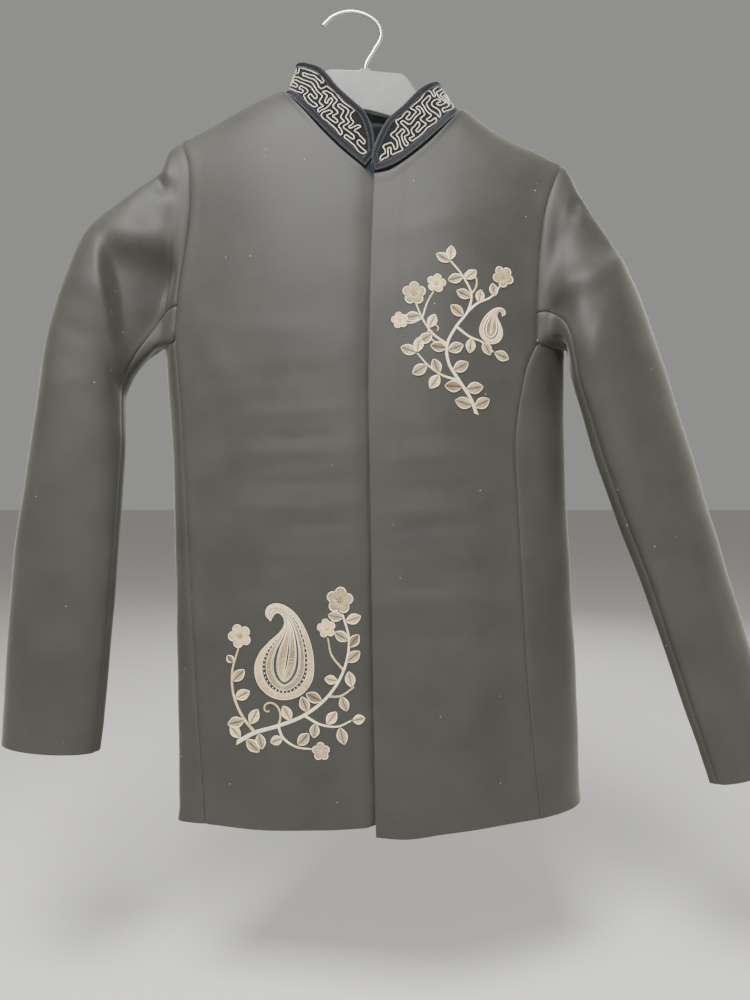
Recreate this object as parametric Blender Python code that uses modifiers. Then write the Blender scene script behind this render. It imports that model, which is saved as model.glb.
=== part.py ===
# Child's sherwani coat on a hanger
# Metres, +Z up. The origin is where the hanger's hook bears on a peg. The coat faces -Y.
# Sides are the wearer's: the wearer's right is at -X. A "drop" is a height below the origin.
import math

import bmesh
import bpy
import numpy as np

# Driving sizes
WALL = 0.002                # suiting with its fused backing
COLLAR_WALL = 0.003
BINDING_WALL = 0.0008
SEAM_GAP = 0.0003
COLLAR_HEIGHT = 0.034
COLLAR_END_HEIGHT = 0.005   # what is left of the band at its front end
COLLAR_END_ROUND = 0.036    # how far back the rounded end starts
COLLAR_STEP = 0.0016        # from the neck edge to the band, so that the walls clear
COLLAR_END_SHAPE = 1.5      # power of the end's curve: 1 is a straight slope, 2 a quarter circle
BINDING_WIDTH = 0.0055
BINDING_MOST = 0.42         # of the band's height, which it covers where the ends are low
BINDING_GAP = 0.00045
BINDING_EDGE_STEP = 0.10    # of its width, by which it stays clear of the neck seam
UNDERLAP = 0.022            # how far the right front runs on behind the left one
UNDERLAP_SINK = 0.0055      # how far it falls back there
UNDERLAP_TURN = 0.011       # over what width it does so
UNDERLAP_LEAD = 0.8         # of that width, which lies outside the left front's edge
NECK_ARCH = 0.0225          # how high the back's top edge would rise over the neck
NECK_MIDDLE = 0.015         # its x
SHOULDER_ROLL = 0.045       # height over which the shoulder rounds into the chest
SHOULDER_PULL = 0.0006      # each side of the shoulder seam, where the panels roll over
ARMHOLE_SPARE = 0.0004      # more room where the sleeve leaves the armhole at an angle
ARMHOLE_SHARES = (1.0, 0.65, 0.35, 0.15)  # of that step, for the sleeve's first rings
SLEEVE_SPARE = 0.0005
LARGEST_TURN = 2.0          # between two walls at a seam, in radians
UNDERARM_DIP = 0.005
SIDE_FULLNESS = 0.45        # how squarely the side panel leaves its seams
PANEL_ROWS = 20
UNDERARM_ROW = 11
ROW_CROWDING = 1.9          # rows lie closer near the shoulder
FRONT_COLUMNS = 12
NECK_COLUMNS = 6            # of those, how many lie under the neckline
BACK_COLUMNS = 18
BACK_NECK_COLUMNS = 8
SIDE_COLUMNS = 5
SLEEVE_RINGS = 22
FOLD_RINGS = 2              # rings over which the folds rise, below the armhole
FOLD_END = 0.35             # of its height, which a fold keeps at its ends
COLLAR_COLUMNS = 44
NECK_STEPS = 14             # along the collar's seam with each front, and with the back
NAPE_STEPS = 16
NECK_SMOOTHING = 4
FRONT_SEAM_VERTEX = 10      # where round the armhole the sleeve's front seam starts
BACK_SEAM_VERTEX = 19
FRONT_SEAM_ANGLES = (132.0, 168.0)  # round the sleeve from its outer edge, at the top and below the elbow
FRONT_SEAM_SETTLES = 0.45   # of the sleeve's length, over which it gets there
BACK_SEAM_ANGLE = 250.0
SLEEVE_SQUARENESS = 0.12    # how much fuller than an ellipse its sections are
INNER_DEPTH = 0.24          # of the depth behind, which is left at the inner edge
WIRE_RADIUS = 0.0015
HANGER_HALF_DEPTH = 0.0035
HANGER_EDGE = 0.0012


def table(columns, *rows):
    """Rows with named columns, as one dictionary of lists."""
    return {name: [row[i] for row in rows] for i, name in enumerate(columns.split())}


# Body from the front: depth (y) across each level, from the right seam to the left one
FRONT_LEVELS = table(
    "drop   seam_r  y_seam_r y_mid_r centre y_centre y_mid_l seam_l y_seam_l",
    (0.110, -0.1410, -0.0150, -0.027, 0.015, -0.031, -0.027, 0.1640, -0.0150),
    (0.150, -0.1298, -0.0190, -0.034, 0.015, -0.036, -0.034, 0.1585, -0.0180),
    (0.200, -0.1315, -0.0215, -0.039, 0.014, -0.042, -0.041, 0.1490, -0.0205),
    (0.275, -0.1412, -0.0230, -0.044, 0.013, -0.050, -0.047, 0.1455, -0.0230),
    (0.360, -0.1335, -0.0270, -0.047, 0.013, -0.055, -0.050, 0.1272, -0.0300),
    (0.460, -0.1268, -0.0335, -0.049, 0.014, -0.058, -0.054, 0.1313, -0.0340),
    (0.560, -0.1198, -0.0375, -0.050, 0.016, -0.061, -0.057, 0.1372, -0.0340),
    (0.656, -0.1125, -0.0410, -0.051, 0.018, -0.064, -0.058, 0.1461, -0.0320),
)
# The same levels from behind
BACK_LEVELS = table(
    "drop   seam_r  y_seam_r y_mid_r centre y_centre y_mid_l seam_l y_seam_l",
    (0.110, -0.1410, 0.0120, 0.018, 0.015, 0.021, 0.018, 0.1640, 0.0120),
    (0.150, -0.1250, 0.0130, 0.022, 0.015, 0.025, 0.023, 0.1560, 0.0145),
    (0.200, -0.1220, 0.0130, 0.024, 0.015, 0.028, 0.026, 0.1490, 0.0170),
    (0.275, -0.1280, 0.0120, 0.025, 0.015, 0.030, 0.028, 0.1560, 0.0190),
    (0.360, -0.1220, 0.0100, 0.024, 0.016, 0.031, 0.030, 0.1560, 0.0220),
    (0.460, -0.1200, 0.0040, 0.021, 0.018, 0.031, 0.032, 0.1600, 0.0250),
    (0.560, -0.1200, -0.0040, 0.016, 0.020, 0.029, 0.033, 0.1650, 0.0270),
    (0.656, -0.1200, -0.0120, 0.010, 0.022, 0.027, 0.034, 0.1680, 0.0280),
)
# How far the body reaches at each side, and the depth of that line
SIDE_LEVELS = table(
    "drop  x_right y_right x_left y_left",
    (0.270, -0.1525, -0.0060, 0.1715, -0.0010),
    (0.310, -0.1500, -0.0080, 0.1725, 0.0005),
    (0.360, -0.1455, -0.0120, 0.1734, 0.0030),
    (0.430, -0.1422, -0.0180, 0.1768, 0.0055),
    (0.500, -0.1393, -0.0240, 0.1816, 0.0080),
    (0.580, -0.1368, -0.0290, 0.1859, 0.0110),
    (0.656, -0.1350, -0.0330, 0.1882, 0.0130),
)
SHOULDER = {
    "right": table("x drop", (-0.0600, 0.0660), (-0.0750, 0.0730), (-0.0948, 0.0837),
                   (-0.1146, 0.0952), (-0.1344, 0.1051), (-0.1410, 0.1084)),
    "left": table("x drop", (0.0900, 0.0815), (0.1060, 0.0936), (0.1277, 0.1072),
                  (0.1455, 0.1151), (0.1632, 0.1241), (0.1698, 0.1270)),
}
NECKLINE = {
    "right": table("x drop", (0.0100, 0.1426), (-0.0085, 0.1267), (-0.0335, 0.0993), (-0.0600, 0.0660)),
    "left": table("x drop", (0.0165, 0.1461), (0.0270, 0.1450), (0.0420, 0.1345), (0.0708, 0.1077),
                  (0.0900, 0.0815)),
    "back": table("x drop", (-0.0600, 0.0660), (-0.0400, 0.0750), (0.0150, 0.0805), (0.0720, 0.0850),
                  (0.0900, 0.0815)),
}
FRONT_ARMHOLE = {
    "right": table("x drop", (-0.1410, 0.1084), (-0.1325, 0.1300), (-0.1296, 0.1580), (-0.1328, 0.1980),
                   (-0.1380, 0.2280), (-0.1412, 0.2745)),
    "left": table("x drop", (0.1698, 0.1270), (0.1604, 0.1472), (0.1545, 0.1641), (0.1492, 0.1949),
                  (0.1465, 0.2350), (0.1455, 0.2778)),
}
BACK_ARMHOLE = {
    "right": table("x drop", (-0.1410, 0.1084), (-0.1290, 0.1340), (-0.1230, 0.1700), (-0.1225, 0.2150),
                   (-0.1280, 0.2680)),
    "left": table("x drop", (0.1698, 0.1270), (0.1580, 0.1500), (0.1500, 0.1850), (0.1490, 0.2250),
                  (0.1560, 0.2700)),
}
FRONT_SEAM = {
    "right": table("x drop", (-0.1412, 0.2745), (-0.1362, 0.3260), (-0.1330, 0.3696), (-0.1275, 0.4486),
                   (-0.1224, 0.5250), (-0.1161, 0.6092), (-0.1129, 0.6502)),
    "left": table("x drop", (0.1455, 0.2778), (0.1391, 0.2903), (0.1322, 0.3168), (0.1275, 0.3500),
                  (0.1291, 0.4088), (0.1322, 0.4789), (0.1369, 0.5568), (0.1421, 0.6109), (0.1458, 0.6503)),
}
BACK_SEAM = {
    "right": table("x drop", (-0.1280, 0.2680), (-0.1220, 0.3600), (-0.1200, 0.4600), (-0.1200, 0.6510)),
    "left": table("x drop", (0.1560, 0.2700), (0.1560, 0.3600), (0.1600, 0.4600), (0.1680, 0.6510)),
}
CENTRE_EDGE = table("drop x", (0.1461, 0.0165), (0.2148, 0.0139), (0.3050, 0.0123), (0.4233, 0.0139),
                    (0.5557, 0.0161), (0.6504, 0.0180))
HEM = {
    "right": table("x drop", (0.0400, 0.6415), (0.0094, 0.6441), (-0.0200, 0.6482), (-0.0691, 0.6523),
                   (-0.1129, 0.6502)),
    "left": table("x drop", (0.0180, 0.6504), (0.0407, 0.6520), (0.0677, 0.6497), (0.1013, 0.6491),
                  (0.1458, 0.6503)),
    "back": table("x drop", (-0.1200, 0.6510), (0.0200, 0.6525), (0.1680, 0.6510)),
}
UNDERLAP_NECK = table("x drop", (0.0380, 0.1570), (0.0100, 0.1440))
# Sleeves: outer and inner edge of each section, and how deep it is before and behind that line
SLEEVE_SECTIONS = {
    "right": table(
        "x_out   drop_out y_out  x_in    drop_in y_in   front  behind loop",
        (-0.1410, 0.1084, 0.000, -0.1450, 0.2775, -0.006, 0.026, 0.018, 1.00),
        (-0.1505, 0.1160, 0.000, -0.1560, 0.2790, -0.006, 0.027, 0.022, 0.72),
        (-0.1570, 0.1340, -0.002, -0.1655, 0.2870, -0.007, 0.028, 0.026, 0.42),
        (-0.1740, 0.1500, -0.008, -0.1755, 0.2990, -0.010, 0.030, 0.028, 0.18),
        (-0.1960, 0.1690, -0.012, -0.1805, 0.3085, -0.013, 0.031, 0.028, 0.05),
        (-0.2130, 0.1890, -0.016, -0.1830, 0.3167, -0.016, 0.030, 0.025, 0.00),
        (-0.2250, 0.2190, -0.020, -0.1828, 0.3250, -0.019, 0.028, 0.024, 0.00),
        (-0.2386, 0.2663, -0.024, -0.1818, 0.3374, -0.022, 0.026, 0.023, 0.00),
        (-0.2455, 0.3184, -0.028, -0.1805, 0.3584, -0.026, 0.025, 0.022, 0.00),
        (-0.2530, 0.3760, -0.030, -0.1822, 0.4020, -0.029, 0.024, 0.021, 0.00),
        (-0.2610, 0.4260, -0.030, -0.1850, 0.4480, -0.031, 0.022, 0.020, 0.00),
        (-0.2668, 0.4880, -0.030, -0.1888, 0.5040, -0.033, 0.021, 0.019, 0.00),
        (-0.2709, 0.5579, -0.030, -0.1945, 0.5661, -0.034, 0.020, 0.018, 0.00),
        (-0.2725, 0.5908, -0.030, -0.1981, 0.5957, -0.034, 0.020, 0.018, 0.00),
    ),
    "left": table(
        "x_out  drop_out y_out  x_in    drop_in y_in   front  behind loop",
        (0.1698, 0.1270, 0.000, 0.1500, 0.2810, -0.008, 0.024, 0.018, 1.00),
        (0.1765, 0.1345, 0.001, 0.1590, 0.2770, -0.012, 0.025, 0.026, 0.66),
        (0.1830, 0.1500, 0.002, 0.1640, 0.2790, -0.022, 0.026, 0.030, 0.34),
        (0.1935, 0.1680, 0.003, 0.1670, 0.2880, -0.030, 0.028, 0.030, 0.14),
        (0.2075, 0.1900, 0.005, 0.1690, 0.3010, -0.035, 0.030, 0.028, 0.03),
        (0.2195, 0.2110, 0.006, 0.1715, 0.3120, -0.038, 0.031, 0.022, 0.00),
        (0.2340, 0.2430, 0.010, 0.1785, 0.3330, -0.037, 0.032, 0.022, 0.00),
        (0.2500, 0.2880, 0.012, 0.1870, 0.3620, -0.036, 0.031, 0.021, 0.00),
        (0.2680, 0.3430, 0.016, 0.1975, 0.3930, -0.036, 0.029, 0.020, 0.00),
        (0.2840, 0.3950, 0.016, 0.2095, 0.4260, -0.036, 0.027, 0.019, 0.00),
        (0.3020, 0.4510, 0.016, 0.2250, 0.4650, -0.036, 0.025, 0.018, 0.00),
        (0.3210, 0.5090, 0.016, 0.2420, 0.5140, -0.036, 0.023, 0.018, 0.00),
        (0.3454, 0.5828, 0.016, 0.2680, 0.5889, -0.036, 0.021, 0.018, 0.00),
        (0.3564, 0.6141, 0.016, 0.2789, 0.6207, -0.036, 0.020, 0.018, 0.00),
    ),
}
# The largest folds, seen from the front; a minus height is a trough
SLEEVE_FOLDS = {
    "right": table(
        "x_from   drop_from x_to   drop_to width  height",
        (-0.2080, 0.2080, -0.1350, 0.2060, 0.0130, 0.0040),
        (-0.1960, 0.2260, -0.1340, 0.2330, 0.0120, -0.0090),
        (-0.1580, 0.1440, -0.1400, 0.1540, 0.0070, -0.0060),
        (-0.1900, 0.2600, -0.1500, 0.2560, 0.0100, 0.0040),
    ),
    "left": table(
        "x_from  drop_from x_to   drop_to width  height",
        (0.1480, 0.2420, 0.1930, 0.2300, 0.0080, 0.0040),
        (0.1500, 0.2560, 0.1700, 0.2540, 0.0080, -0.0050),
        (0.1780, 0.1520, 0.1800, 0.1640, 0.0060, -0.0040),
        (0.1960, 0.3180, 0.2650, 0.5700, 0.0120, 0.0030),
    ),
}
# The collar's top edge before its ends are rounded, by its part of the way round the neck
COLLAR_TOP = table(
    "turn  x        y       drop",
    (0.00, 0.0306, -0.026, 0.1144),
    (0.10, 0.0060, -0.018, 0.0900),
    (0.18, -0.0135, -0.013, 0.0702),
    (0.25, -0.0300, -0.0085, 0.0510),
    (0.29, -0.0455, 0.007, 0.0395),
    (0.33, -0.0400, 0.020, 0.0440),
    (0.50, 0.0150, 0.029, 0.0480),
    (0.67, 0.0640, 0.021, 0.0540),
    (0.72, 0.0690, 0.007, 0.0552),
    (0.77, 0.0590, -0.0085, 0.0660),
    (0.86, 0.0388, -0.014, 0.0874),
    (0.93, 0.0237, -0.019, 0.1009),
    (1.00, 0.0071, -0.028, 0.1106),
)
HOOK_ROUTE = table("x drop", (-0.0256, 0.0100), (-0.0180, 0.0030), (-0.0025, -0.0015), (0.0119, 0.0024),
                   (0.0205, 0.0100), (0.0222, 0.0186), (0.0160, 0.0310), (0.0096, 0.0430), (0.0091, 0.0459))
HANGER_TOP = table("x drop", (-0.0620, 0.0775), (-0.0500, 0.0750), (-0.0400, 0.0660), (-0.0273, 0.0500),
                   (-0.0194, 0.0472), (0.0040, 0.0480), (0.0052, 0.0465), (0.0130, 0.0465), (0.0142, 0.0484),
                   (0.0393, 0.0508), (0.0440, 0.0540), (0.0560, 0.0720), (0.0680, 0.0840), (0.0820, 0.0920))
HANGER_FOOT = table("x drop", (0.1000, 0.1080), (0.0600, 0.0950), (0.0312, 0.0884), (0.0080, 0.0825),
                    (-0.0150, 0.0845), (-0.0600, 0.0910))
ARM_CLEARANCE = 0.0038      # from the shoulder line down to the arm's top edge
ARM_HEIGHT = 0.0130         # of the arm near its tip
ARM_END_SHORT = 0.0080      # how far the arm stops before the shoulder's end
ARM_NOSE = 0.004            # how far its rounded end goes on
ARM_STEPS = 8
HOOK_STEPS = 26

FINISHES = {
    "suiting": {"colour": (0.018, 0.018, 0.017), "roughness": 0.75, "metallic": 0.0},
    "satin": {"colour": (0.010, 0.013, 0.020), "roughness": 0.40, "metallic": 0.0},
    "plastic": {"colour": (0.350, 0.350, 0.330), "roughness": 0.50, "metallic": 0.0},
    "wire": {"colour": (0.620, 0.620, 0.600), "roughness": 0.30, "metallic": 1.0},
}


def cubic(keys, values, at):
    """A smooth curve through values at rising keys; it runs on straight past both ends."""
    keys = np.asarray(keys, float)
    values = np.asarray(values, float)
    slopes = np.gradient(values, keys, axis=0) if len(keys) > 2 else np.repeat(
        (values[1:] - values[:-1]) / (keys[1] - keys[0]), 2, axis=0)
    if at <= keys[0]:
        return values[0] + slopes[0] * (at - keys[0])
    if at >= keys[-1]:
        return values[-1] + slopes[-1] * (at - keys[-1])
    i = int(np.searchsorted(keys, at) - 1)
    span = keys[i + 1] - keys[i]
    t = (at - keys[i]) / span
    return ((2 * t**3 - 3 * t**2 + 1) * values[i] + (t**3 - 2 * t**2 + t) * span * slopes[i]
            + (3 * t**2 - 2 * t**3) * values[i + 1] + (t**3 - t**2) * span * slopes[i + 1])


def route(rows, part):
    """The point (x, drop) at a part, 0 to 1, of the way along a table of x and drop."""
    points = np.column_stack([rows["x"], rows["drop"]])
    lengths = np.concatenate([[0], np.cumsum(np.linalg.norm(np.diff(points, axis=0), axis=1))])
    return cubic(lengths / lengths[-1], points, part)


def smooth_step(value):
    value = min(max(value, 0.0), 1.0)
    return value * value * (3 - 2 * value)


def shoulder_drop(x):
    """The shoulder line's drop, carried on over the neck in a low arch."""
    right, left = SHOULDER["right"], SHOULDER["left"]
    neck_right, neck_left = right["x"][0], left["x"][0]
    if x <= neck_right:
        return float(cubic([-v for v in right["x"]], right["drop"], -x))
    if x >= neck_left:
        return float(cubic(left["x"], left["drop"], x))
    part = (x - neck_right) / (neck_left - neck_right)
    arch = 4 * NECK_ARCH * part * (1 - part)
    return right["drop"][0] + (left["drop"][0] - right["drop"][0]) * part - arch


def level(rows, name, drop):
    return float(cubic(rows["drop"], rows[name], drop))


def panel_depth(rows, x, drop):
    """The depth y of the front or back at a place, rounding in at the shoulder."""
    seam_r, centre, seam_l = (level(rows, name, drop) for name in ("seam_r", "centre", "seam_l"))
    across = [seam_r, (seam_r + centre) / 2, centre, (centre + seam_l) / 2, seam_l]
    depths = [level(rows, name, drop) for name in ("y_seam_r", "y_mid_r", "y_centre", "y_mid_l", "y_seam_l")]
    y = float(cubic(across, depths, x))
    below = min(max((drop - shoulder_drop(x)) / SHOULDER_ROLL, 0.0), 1.0)
    return y * math.sqrt(1 - (1 - below) ** 2)


def row_part(row):
    return (row / PANEL_ROWS) ** ROW_CROWDING


def outer_edge(armhole, seam, row):
    """Shoulder tip, armhole, underarm corner and side seam, at one of the panel's rows."""
    corner = row_part(UNDERARM_ROW)
    if row <= UNDERARM_ROW:
        return route(armhole, row_part(row) / corner)
    return route(seam, (row_part(row) - corner) / (1 - corner))


def patch(top, foot, inner, outer):
    """Fill between four edges in the (x, drop) plane; the edges are lists of points."""
    rows, columns = len(inner), len(top)
    grid = np.zeros((rows, columns, 2))
    for j in range(rows):
        v = row_part(j)
        for i in range(columns):
            u = i / (columns - 1)
            corners = ((1 - u) * (1 - v) * top[0] + u * (1 - v) * top[-1]
                       + (1 - u) * v * foot[0] + u * v * foot[-1])
            grid[j, i] = (1 - v) * top[i] + v * foot[i] + (1 - u) * inner[j] + u * outer[j] - corners
    return grid


def raised(grid, depth):
    """Turn (x, drop) points into points in space."""
    return np.array([[(x, depth(x, drop), -drop) for x, drop in row] for row in grid])


def front_grid(side):
    neck = [route(NECKLINE[side], k / NECK_COLUMNS) for k in range(NECK_COLUMNS + 1)]
    slope_columns = FRONT_COLUMNS - NECK_COLUMNS
    slope = [route(SHOULDER[side], k / slope_columns) for k in range(1, slope_columns + 1)]
    rows = range(PANEL_ROWS + 1)
    outer = [outer_edge(FRONT_ARMHOLE[side], FRONT_SEAM[side], j) for j in rows]
    extra = 0.0
    if side == "right":
        neck = [route(UNDERLAP_NECK, k / 2) for k in range(2)] + neck
        extra = UNDERLAP
    top = neck + slope
    inner = []
    for j in rows:
        drop = top[0][1] + (HEM[side]["drop"][0] - top[0][1]) * row_part(j)
        inner.append(np.array([level(CENTRE_EDGE, "x", drop) + extra, drop]))
    inner[0] = np.array(top[0])
    foot = [route(HEM[side], i / (len(top) - 1)) for i in range(len(top))]
    foot[0] = inner[-1]
    return patch(top, foot, inner, outer)


def right_front_depth(x, drop):
    """The right front falls back where it goes under the left one."""
    edge = level(CENTRE_EDGE, "x", drop)
    sink = UNDERLAP_SINK * smooth_step((x - edge) / UNDERLAP_TURN + UNDERLAP_LEAD)
    return panel_depth(FRONT_LEVELS, x, drop) + sink


def back_grid():
    slope_columns = (BACK_COLUMNS - BACK_NECK_COLUMNS) // 2
    right = [route(SHOULDER["right"], k / slope_columns) for k in range(slope_columns, 0, -1)]
    neck = [route(NECKLINE["back"], k / BACK_NECK_COLUMNS) for k in range(BACK_NECK_COLUMNS + 1)]
    left = [route(SHOULDER["left"], k / slope_columns) for k in range(1, slope_columns + 1)]
    rows = range(PANEL_ROWS + 1)
    inner = [outer_edge(BACK_ARMHOLE["right"], BACK_SEAM["right"], j) for j in rows]
    outer = [outer_edge(BACK_ARMHOLE["left"], BACK_SEAM["left"], j) for j in rows]
    foot = [route(HEM["back"], i / BACK_COLUMNS) for i in range(BACK_COLUMNS + 1)]
    return patch(right + neck + left, foot, inner, outer)


def side_grid(side, front_edge, back_edge):
    """The side panel rounds from the front seam, out to the side and in to the back seam."""
    grid = np.zeros((len(front_edge), SIDE_COLUMNS + 1, 3))
    for j, (start, end) in enumerate(zip(front_edge, back_edge)):
        for i in range(SIDE_COLUMNS + 1):
            u = i / SIDE_COLUMNS
            drop = -(start[2] + (end[2] - start[2]) * u)
            x_side = level(SIDE_LEVELS, "x_" + side, drop)
            y_side = level(SIDE_LEVELS, "y_" + side, drop)
            near, t = (start, u * 2) if u <= 0.5 else (end, (1 - u) * 2)
            bend = near[1] + (y_side - near[1]) * SIDE_FULLNESS
            x = (1 - t) ** 2 * near[0] + 2 * t * (1 - t) * x_side + t * t * x_side
            y = (1 - t) ** 2 * near[1] + 2 * t * (1 - t) * bend + t * t * y_side
            if j == 0:
                drop += UNDERARM_DIP * math.sin(math.pi * u)
            grid[j, i] = (x, y, -drop)
    return grid


def sleeve_angle(k, at, count):
    """The angle round a sleeve section of armhole point k: 0 is the outer edge, 180 the inner."""
    start, end = FRONT_SEAM_ANGLES
    front = start + (end - start) * smooth_step(at / FRONT_SEAM_SETTLES)
    seams = (0, FRONT_SEAM_VERTEX, BACK_SEAM_VERTEX, count)
    return float(np.interp(k, seams, (0, front, BACK_SEAM_ANGLE, 360)))


def sleeve_section(side, at, angle):
    """A point of the sleeve's section at a part, 0 to 1, of the way down its table."""
    rows = SLEEVE_SECTIONS[side]
    keys = np.linspace(0, 1, len(rows["x_out"]))
    read = {name: float(cubic(keys, rows[name], at)) for name in rows}
    out = np.array([read["x_out"], read["y_out"], -read["drop_out"]])
    inside = np.array([read["x_in"], read["y_in"], -read["drop_in"]])
    centre = (out + inside) / 2
    across = (out - inside) / 2
    forward = np.array([0.0, -1.0, 0.0])
    forward -= across * (forward @ across) / (across @ across)
    forward /= np.linalg.norm(forward)
    c, s = math.cos(math.radians(angle)), math.sin(math.radians(angle))
    depth = read["front"]
    if s < 0:
        depth = read["behind"] * (INNER_DEPTH + (1 - INNER_DEPTH) * (1 + c) / 2)
    bulge = math.copysign(abs(s) ** (1 - SLEEVE_SQUARENESS), s)
    return centre + across * c + forward * depth * bulge


def fold_height(side, point):
    """How far the folds lift a point of a sleeve's front."""
    rows = SLEEVE_FOLDS[side]
    x, drop = point[0], -point[2]
    lift = 0.0
    for k in range(len(rows["height"])):
        start = np.array([rows["x_from"][k], rows["drop_from"][k]])
        run = np.array([rows["x_to"][k], rows["drop_to"][k]]) - start
        part = float(np.clip((np.array([x, drop]) - start) @ run / (run @ run), 0.0, 1.0))
        away = np.linalg.norm(np.array([x, drop]) - start - run * part) / rows["width"][k]
        ends = FOLD_END + (1 - FOLD_END) * math.sin(math.pi * part)
        lift += rows["height"][k] * math.exp(-away * away) * ends
    return lift


def sleeve_grid(side, armhole):
    """Rings from the armhole down to the cuff, with the folds in their front."""
    grid = np.zeros((SLEEVE_RINGS + 1, len(armhole), 3))
    rows = SLEEVE_SECTIONS[side]
    keys = np.linspace(0, 1, len(rows["loop"]))
    for j in range(SLEEVE_RINGS + 1):
        at = j / SLEEVE_RINGS
        hold = min(max(float(cubic(keys, rows["loop"], at)), 0.0), 1.0)
        for k, edge in enumerate(armhole):
            angle = sleeve_angle(k, at, len(armhole))
            point = sleeve_section(side, at, angle)
            point = point + hold * (edge - sleeve_section(side, 0.0, sleeve_angle(k, 0.0, len(armhole))))
            facing = max(math.sin(math.radians(angle)), 0.0)
            point[1] -= fold_height(side, point) * facing * min(1.0, j / FOLD_RINGS)
            grid[j, k] = point
    return grid


def part_edges(first, first_in, second, second_in, both=True, spare=0.0):
    """How far to draw two meeting edges apart, square to the seam, so that their walls clear."""
    seam = np.gradient(first, axis=0)
    seam /= np.linalg.norm(seam, axis=1, keepdims=True)
    moves = []
    for along, a, a_in, b, b_in in zip(seam, first, first_in, second, second_in):
        into = [inner - edge - along * ((inner - edge) @ along) for edge, inner in ((a, a_in), (b, b_in))]
        into_a, into_b = (way / np.linalg.norm(way) for way in into)
        turn = math.acos(float(np.clip(-into_a @ into_b, -1, 1)))
        pull = (SEAM_GAP + spare) / 2 + WALL / 2 * math.tan(min(turn, LARGEST_TURN) / 2)
        moves.append((into_a * pull, into_b * pull) if both else (into_a * 0, into_b * 2 * pull))
    return moves


def collar_base():
    """The neck edge from the right front end, round the back, to the left one."""
    points = []
    for name, depth, count in (("right", FRONT_LEVELS, NECK_STEPS), ("back", BACK_LEVELS, NAPE_STEPS),
                               ("left", FRONT_LEVELS, NECK_STEPS)):
        for k in range(count + 1):
            part = 1 - k / count if name == "left" else k / count
            x, drop = route(NECKLINE[name], part)
            points.append((x, panel_depth(depth, x, drop), -drop))
    points = np.array(points)
    apart = np.linalg.norm(np.diff(points, axis=0), axis=1) > SEAM_GAP / 2
    points = points[np.concatenate([[True], apart])]
    for _ in range(NECK_SMOOTHING):
        points[1:-1] = (points[:-2] + 2 * points[1:-1] + points[2:]) / 4
    return points


class Collar:
    """The band between the neck edge and its top edge; s runs along the neck, h up the band."""

    def __init__(self):
        self.base = collar_base()
        steps = np.linalg.norm(np.diff(self.base, axis=0), axis=1)
        self.at = np.concatenate([[0], np.cumsum(steps)])
        self.length = self.at[-1]

    def height(self, s):
        near = min(s, self.length - s) / COLLAR_END_ROUND
        if near >= 1:
            return COLLAR_HEIGHT
        shape = (1 - (1 - near) ** COLLAR_END_SHAPE) ** (1 / COLLAR_END_SHAPE)
        return COLLAR_END_HEIGHT + (COLLAR_HEIGHT - COLLAR_END_HEIGHT) * shape

    def point(self, s, h):
        here = cubic(self.at, self.base, s)
        turn = s / self.length
        top = np.array([cubic(COLLAR_TOP["turn"], COLLAR_TOP[name], turn) for name in ("x", "y", "drop")])
        top[2] = -top[2]
        up = (top - here) / np.linalg.norm(top - here)
        return here + up * COLLAR_STEP + (top - here) * (h / COLLAR_HEIGHT)


def moved_out(grid, distance):
    """A grid's points, moved along its normals, away from the neck's middle."""
    along = np.gradient(grid, axis=0)
    across = np.gradient(grid, axis=1)
    normals = np.cross(along, across)
    normals /= np.linalg.norm(normals, axis=2, keepdims=True)
    middle = grid.mean(axis=(0, 1))
    away = grid - middle
    away[:, :, 2] = 0
    flip = np.sign((normals * away).sum(axis=2, keepdims=True).mean())
    return grid + normals * flip * distance


def away_from_neck(point):
    return (point.x - NECK_MIDDLE, point.y, 0)


def make_material(name):
    finish = FINISHES[name]
    material = bpy.data.materials.new(name)
    material.use_nodes = True
    shader = material.node_tree.nodes["Principled BSDF"]
    shader.inputs["Base Color"].default_value = (*finish["colour"], 1.0)
    shader.inputs["Roughness"].default_value = finish["roughness"]
    shader.inputs["Metallic"].default_value = finish["metallic"]
    return material


def add_object(name, data, material, collection):
    item = bpy.data.objects.new(name, data)
    item.data.materials.append(material)
    collection.objects.link(item)
    return item


def cloth(name, grid, wall, outward, material, collection, closed=False):
    """An open grid surface, given its wall by Solidify; outward tells which way it faces."""
    rows, columns = grid.shape[:2]
    mesh = bmesh.new()
    points = [[mesh.verts.new(point) for point in row] for row in grid]
    for j in range(rows if closed else rows - 1):
        for i in range(columns - 1):
            k = (j + 1) % rows
            mesh.faces.new((points[j][i], points[k][i], points[k][i + 1], points[j][i + 1]))
    mesh.normal_update()
    middle = mesh.faces[:][len(mesh.faces) // 2]
    if middle.normal.dot(outward(middle.calc_center_median())) < 0:
        bmesh.ops.reverse_faces(mesh, faces=mesh.faces[:])
    data = bpy.data.meshes.new(name)
    mesh.to_mesh(data)
    mesh.free()
    data.shade_smooth()
    item = add_object(name, data, material, collection)
    solid = item.modifiers.new("Wall", "SOLIDIFY")
    solid.thickness = wall
    solid.offset = 0.0
    return item


def spread(points, moves, which):
    for point, move in zip(points, moves):
        point += move[which]


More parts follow.
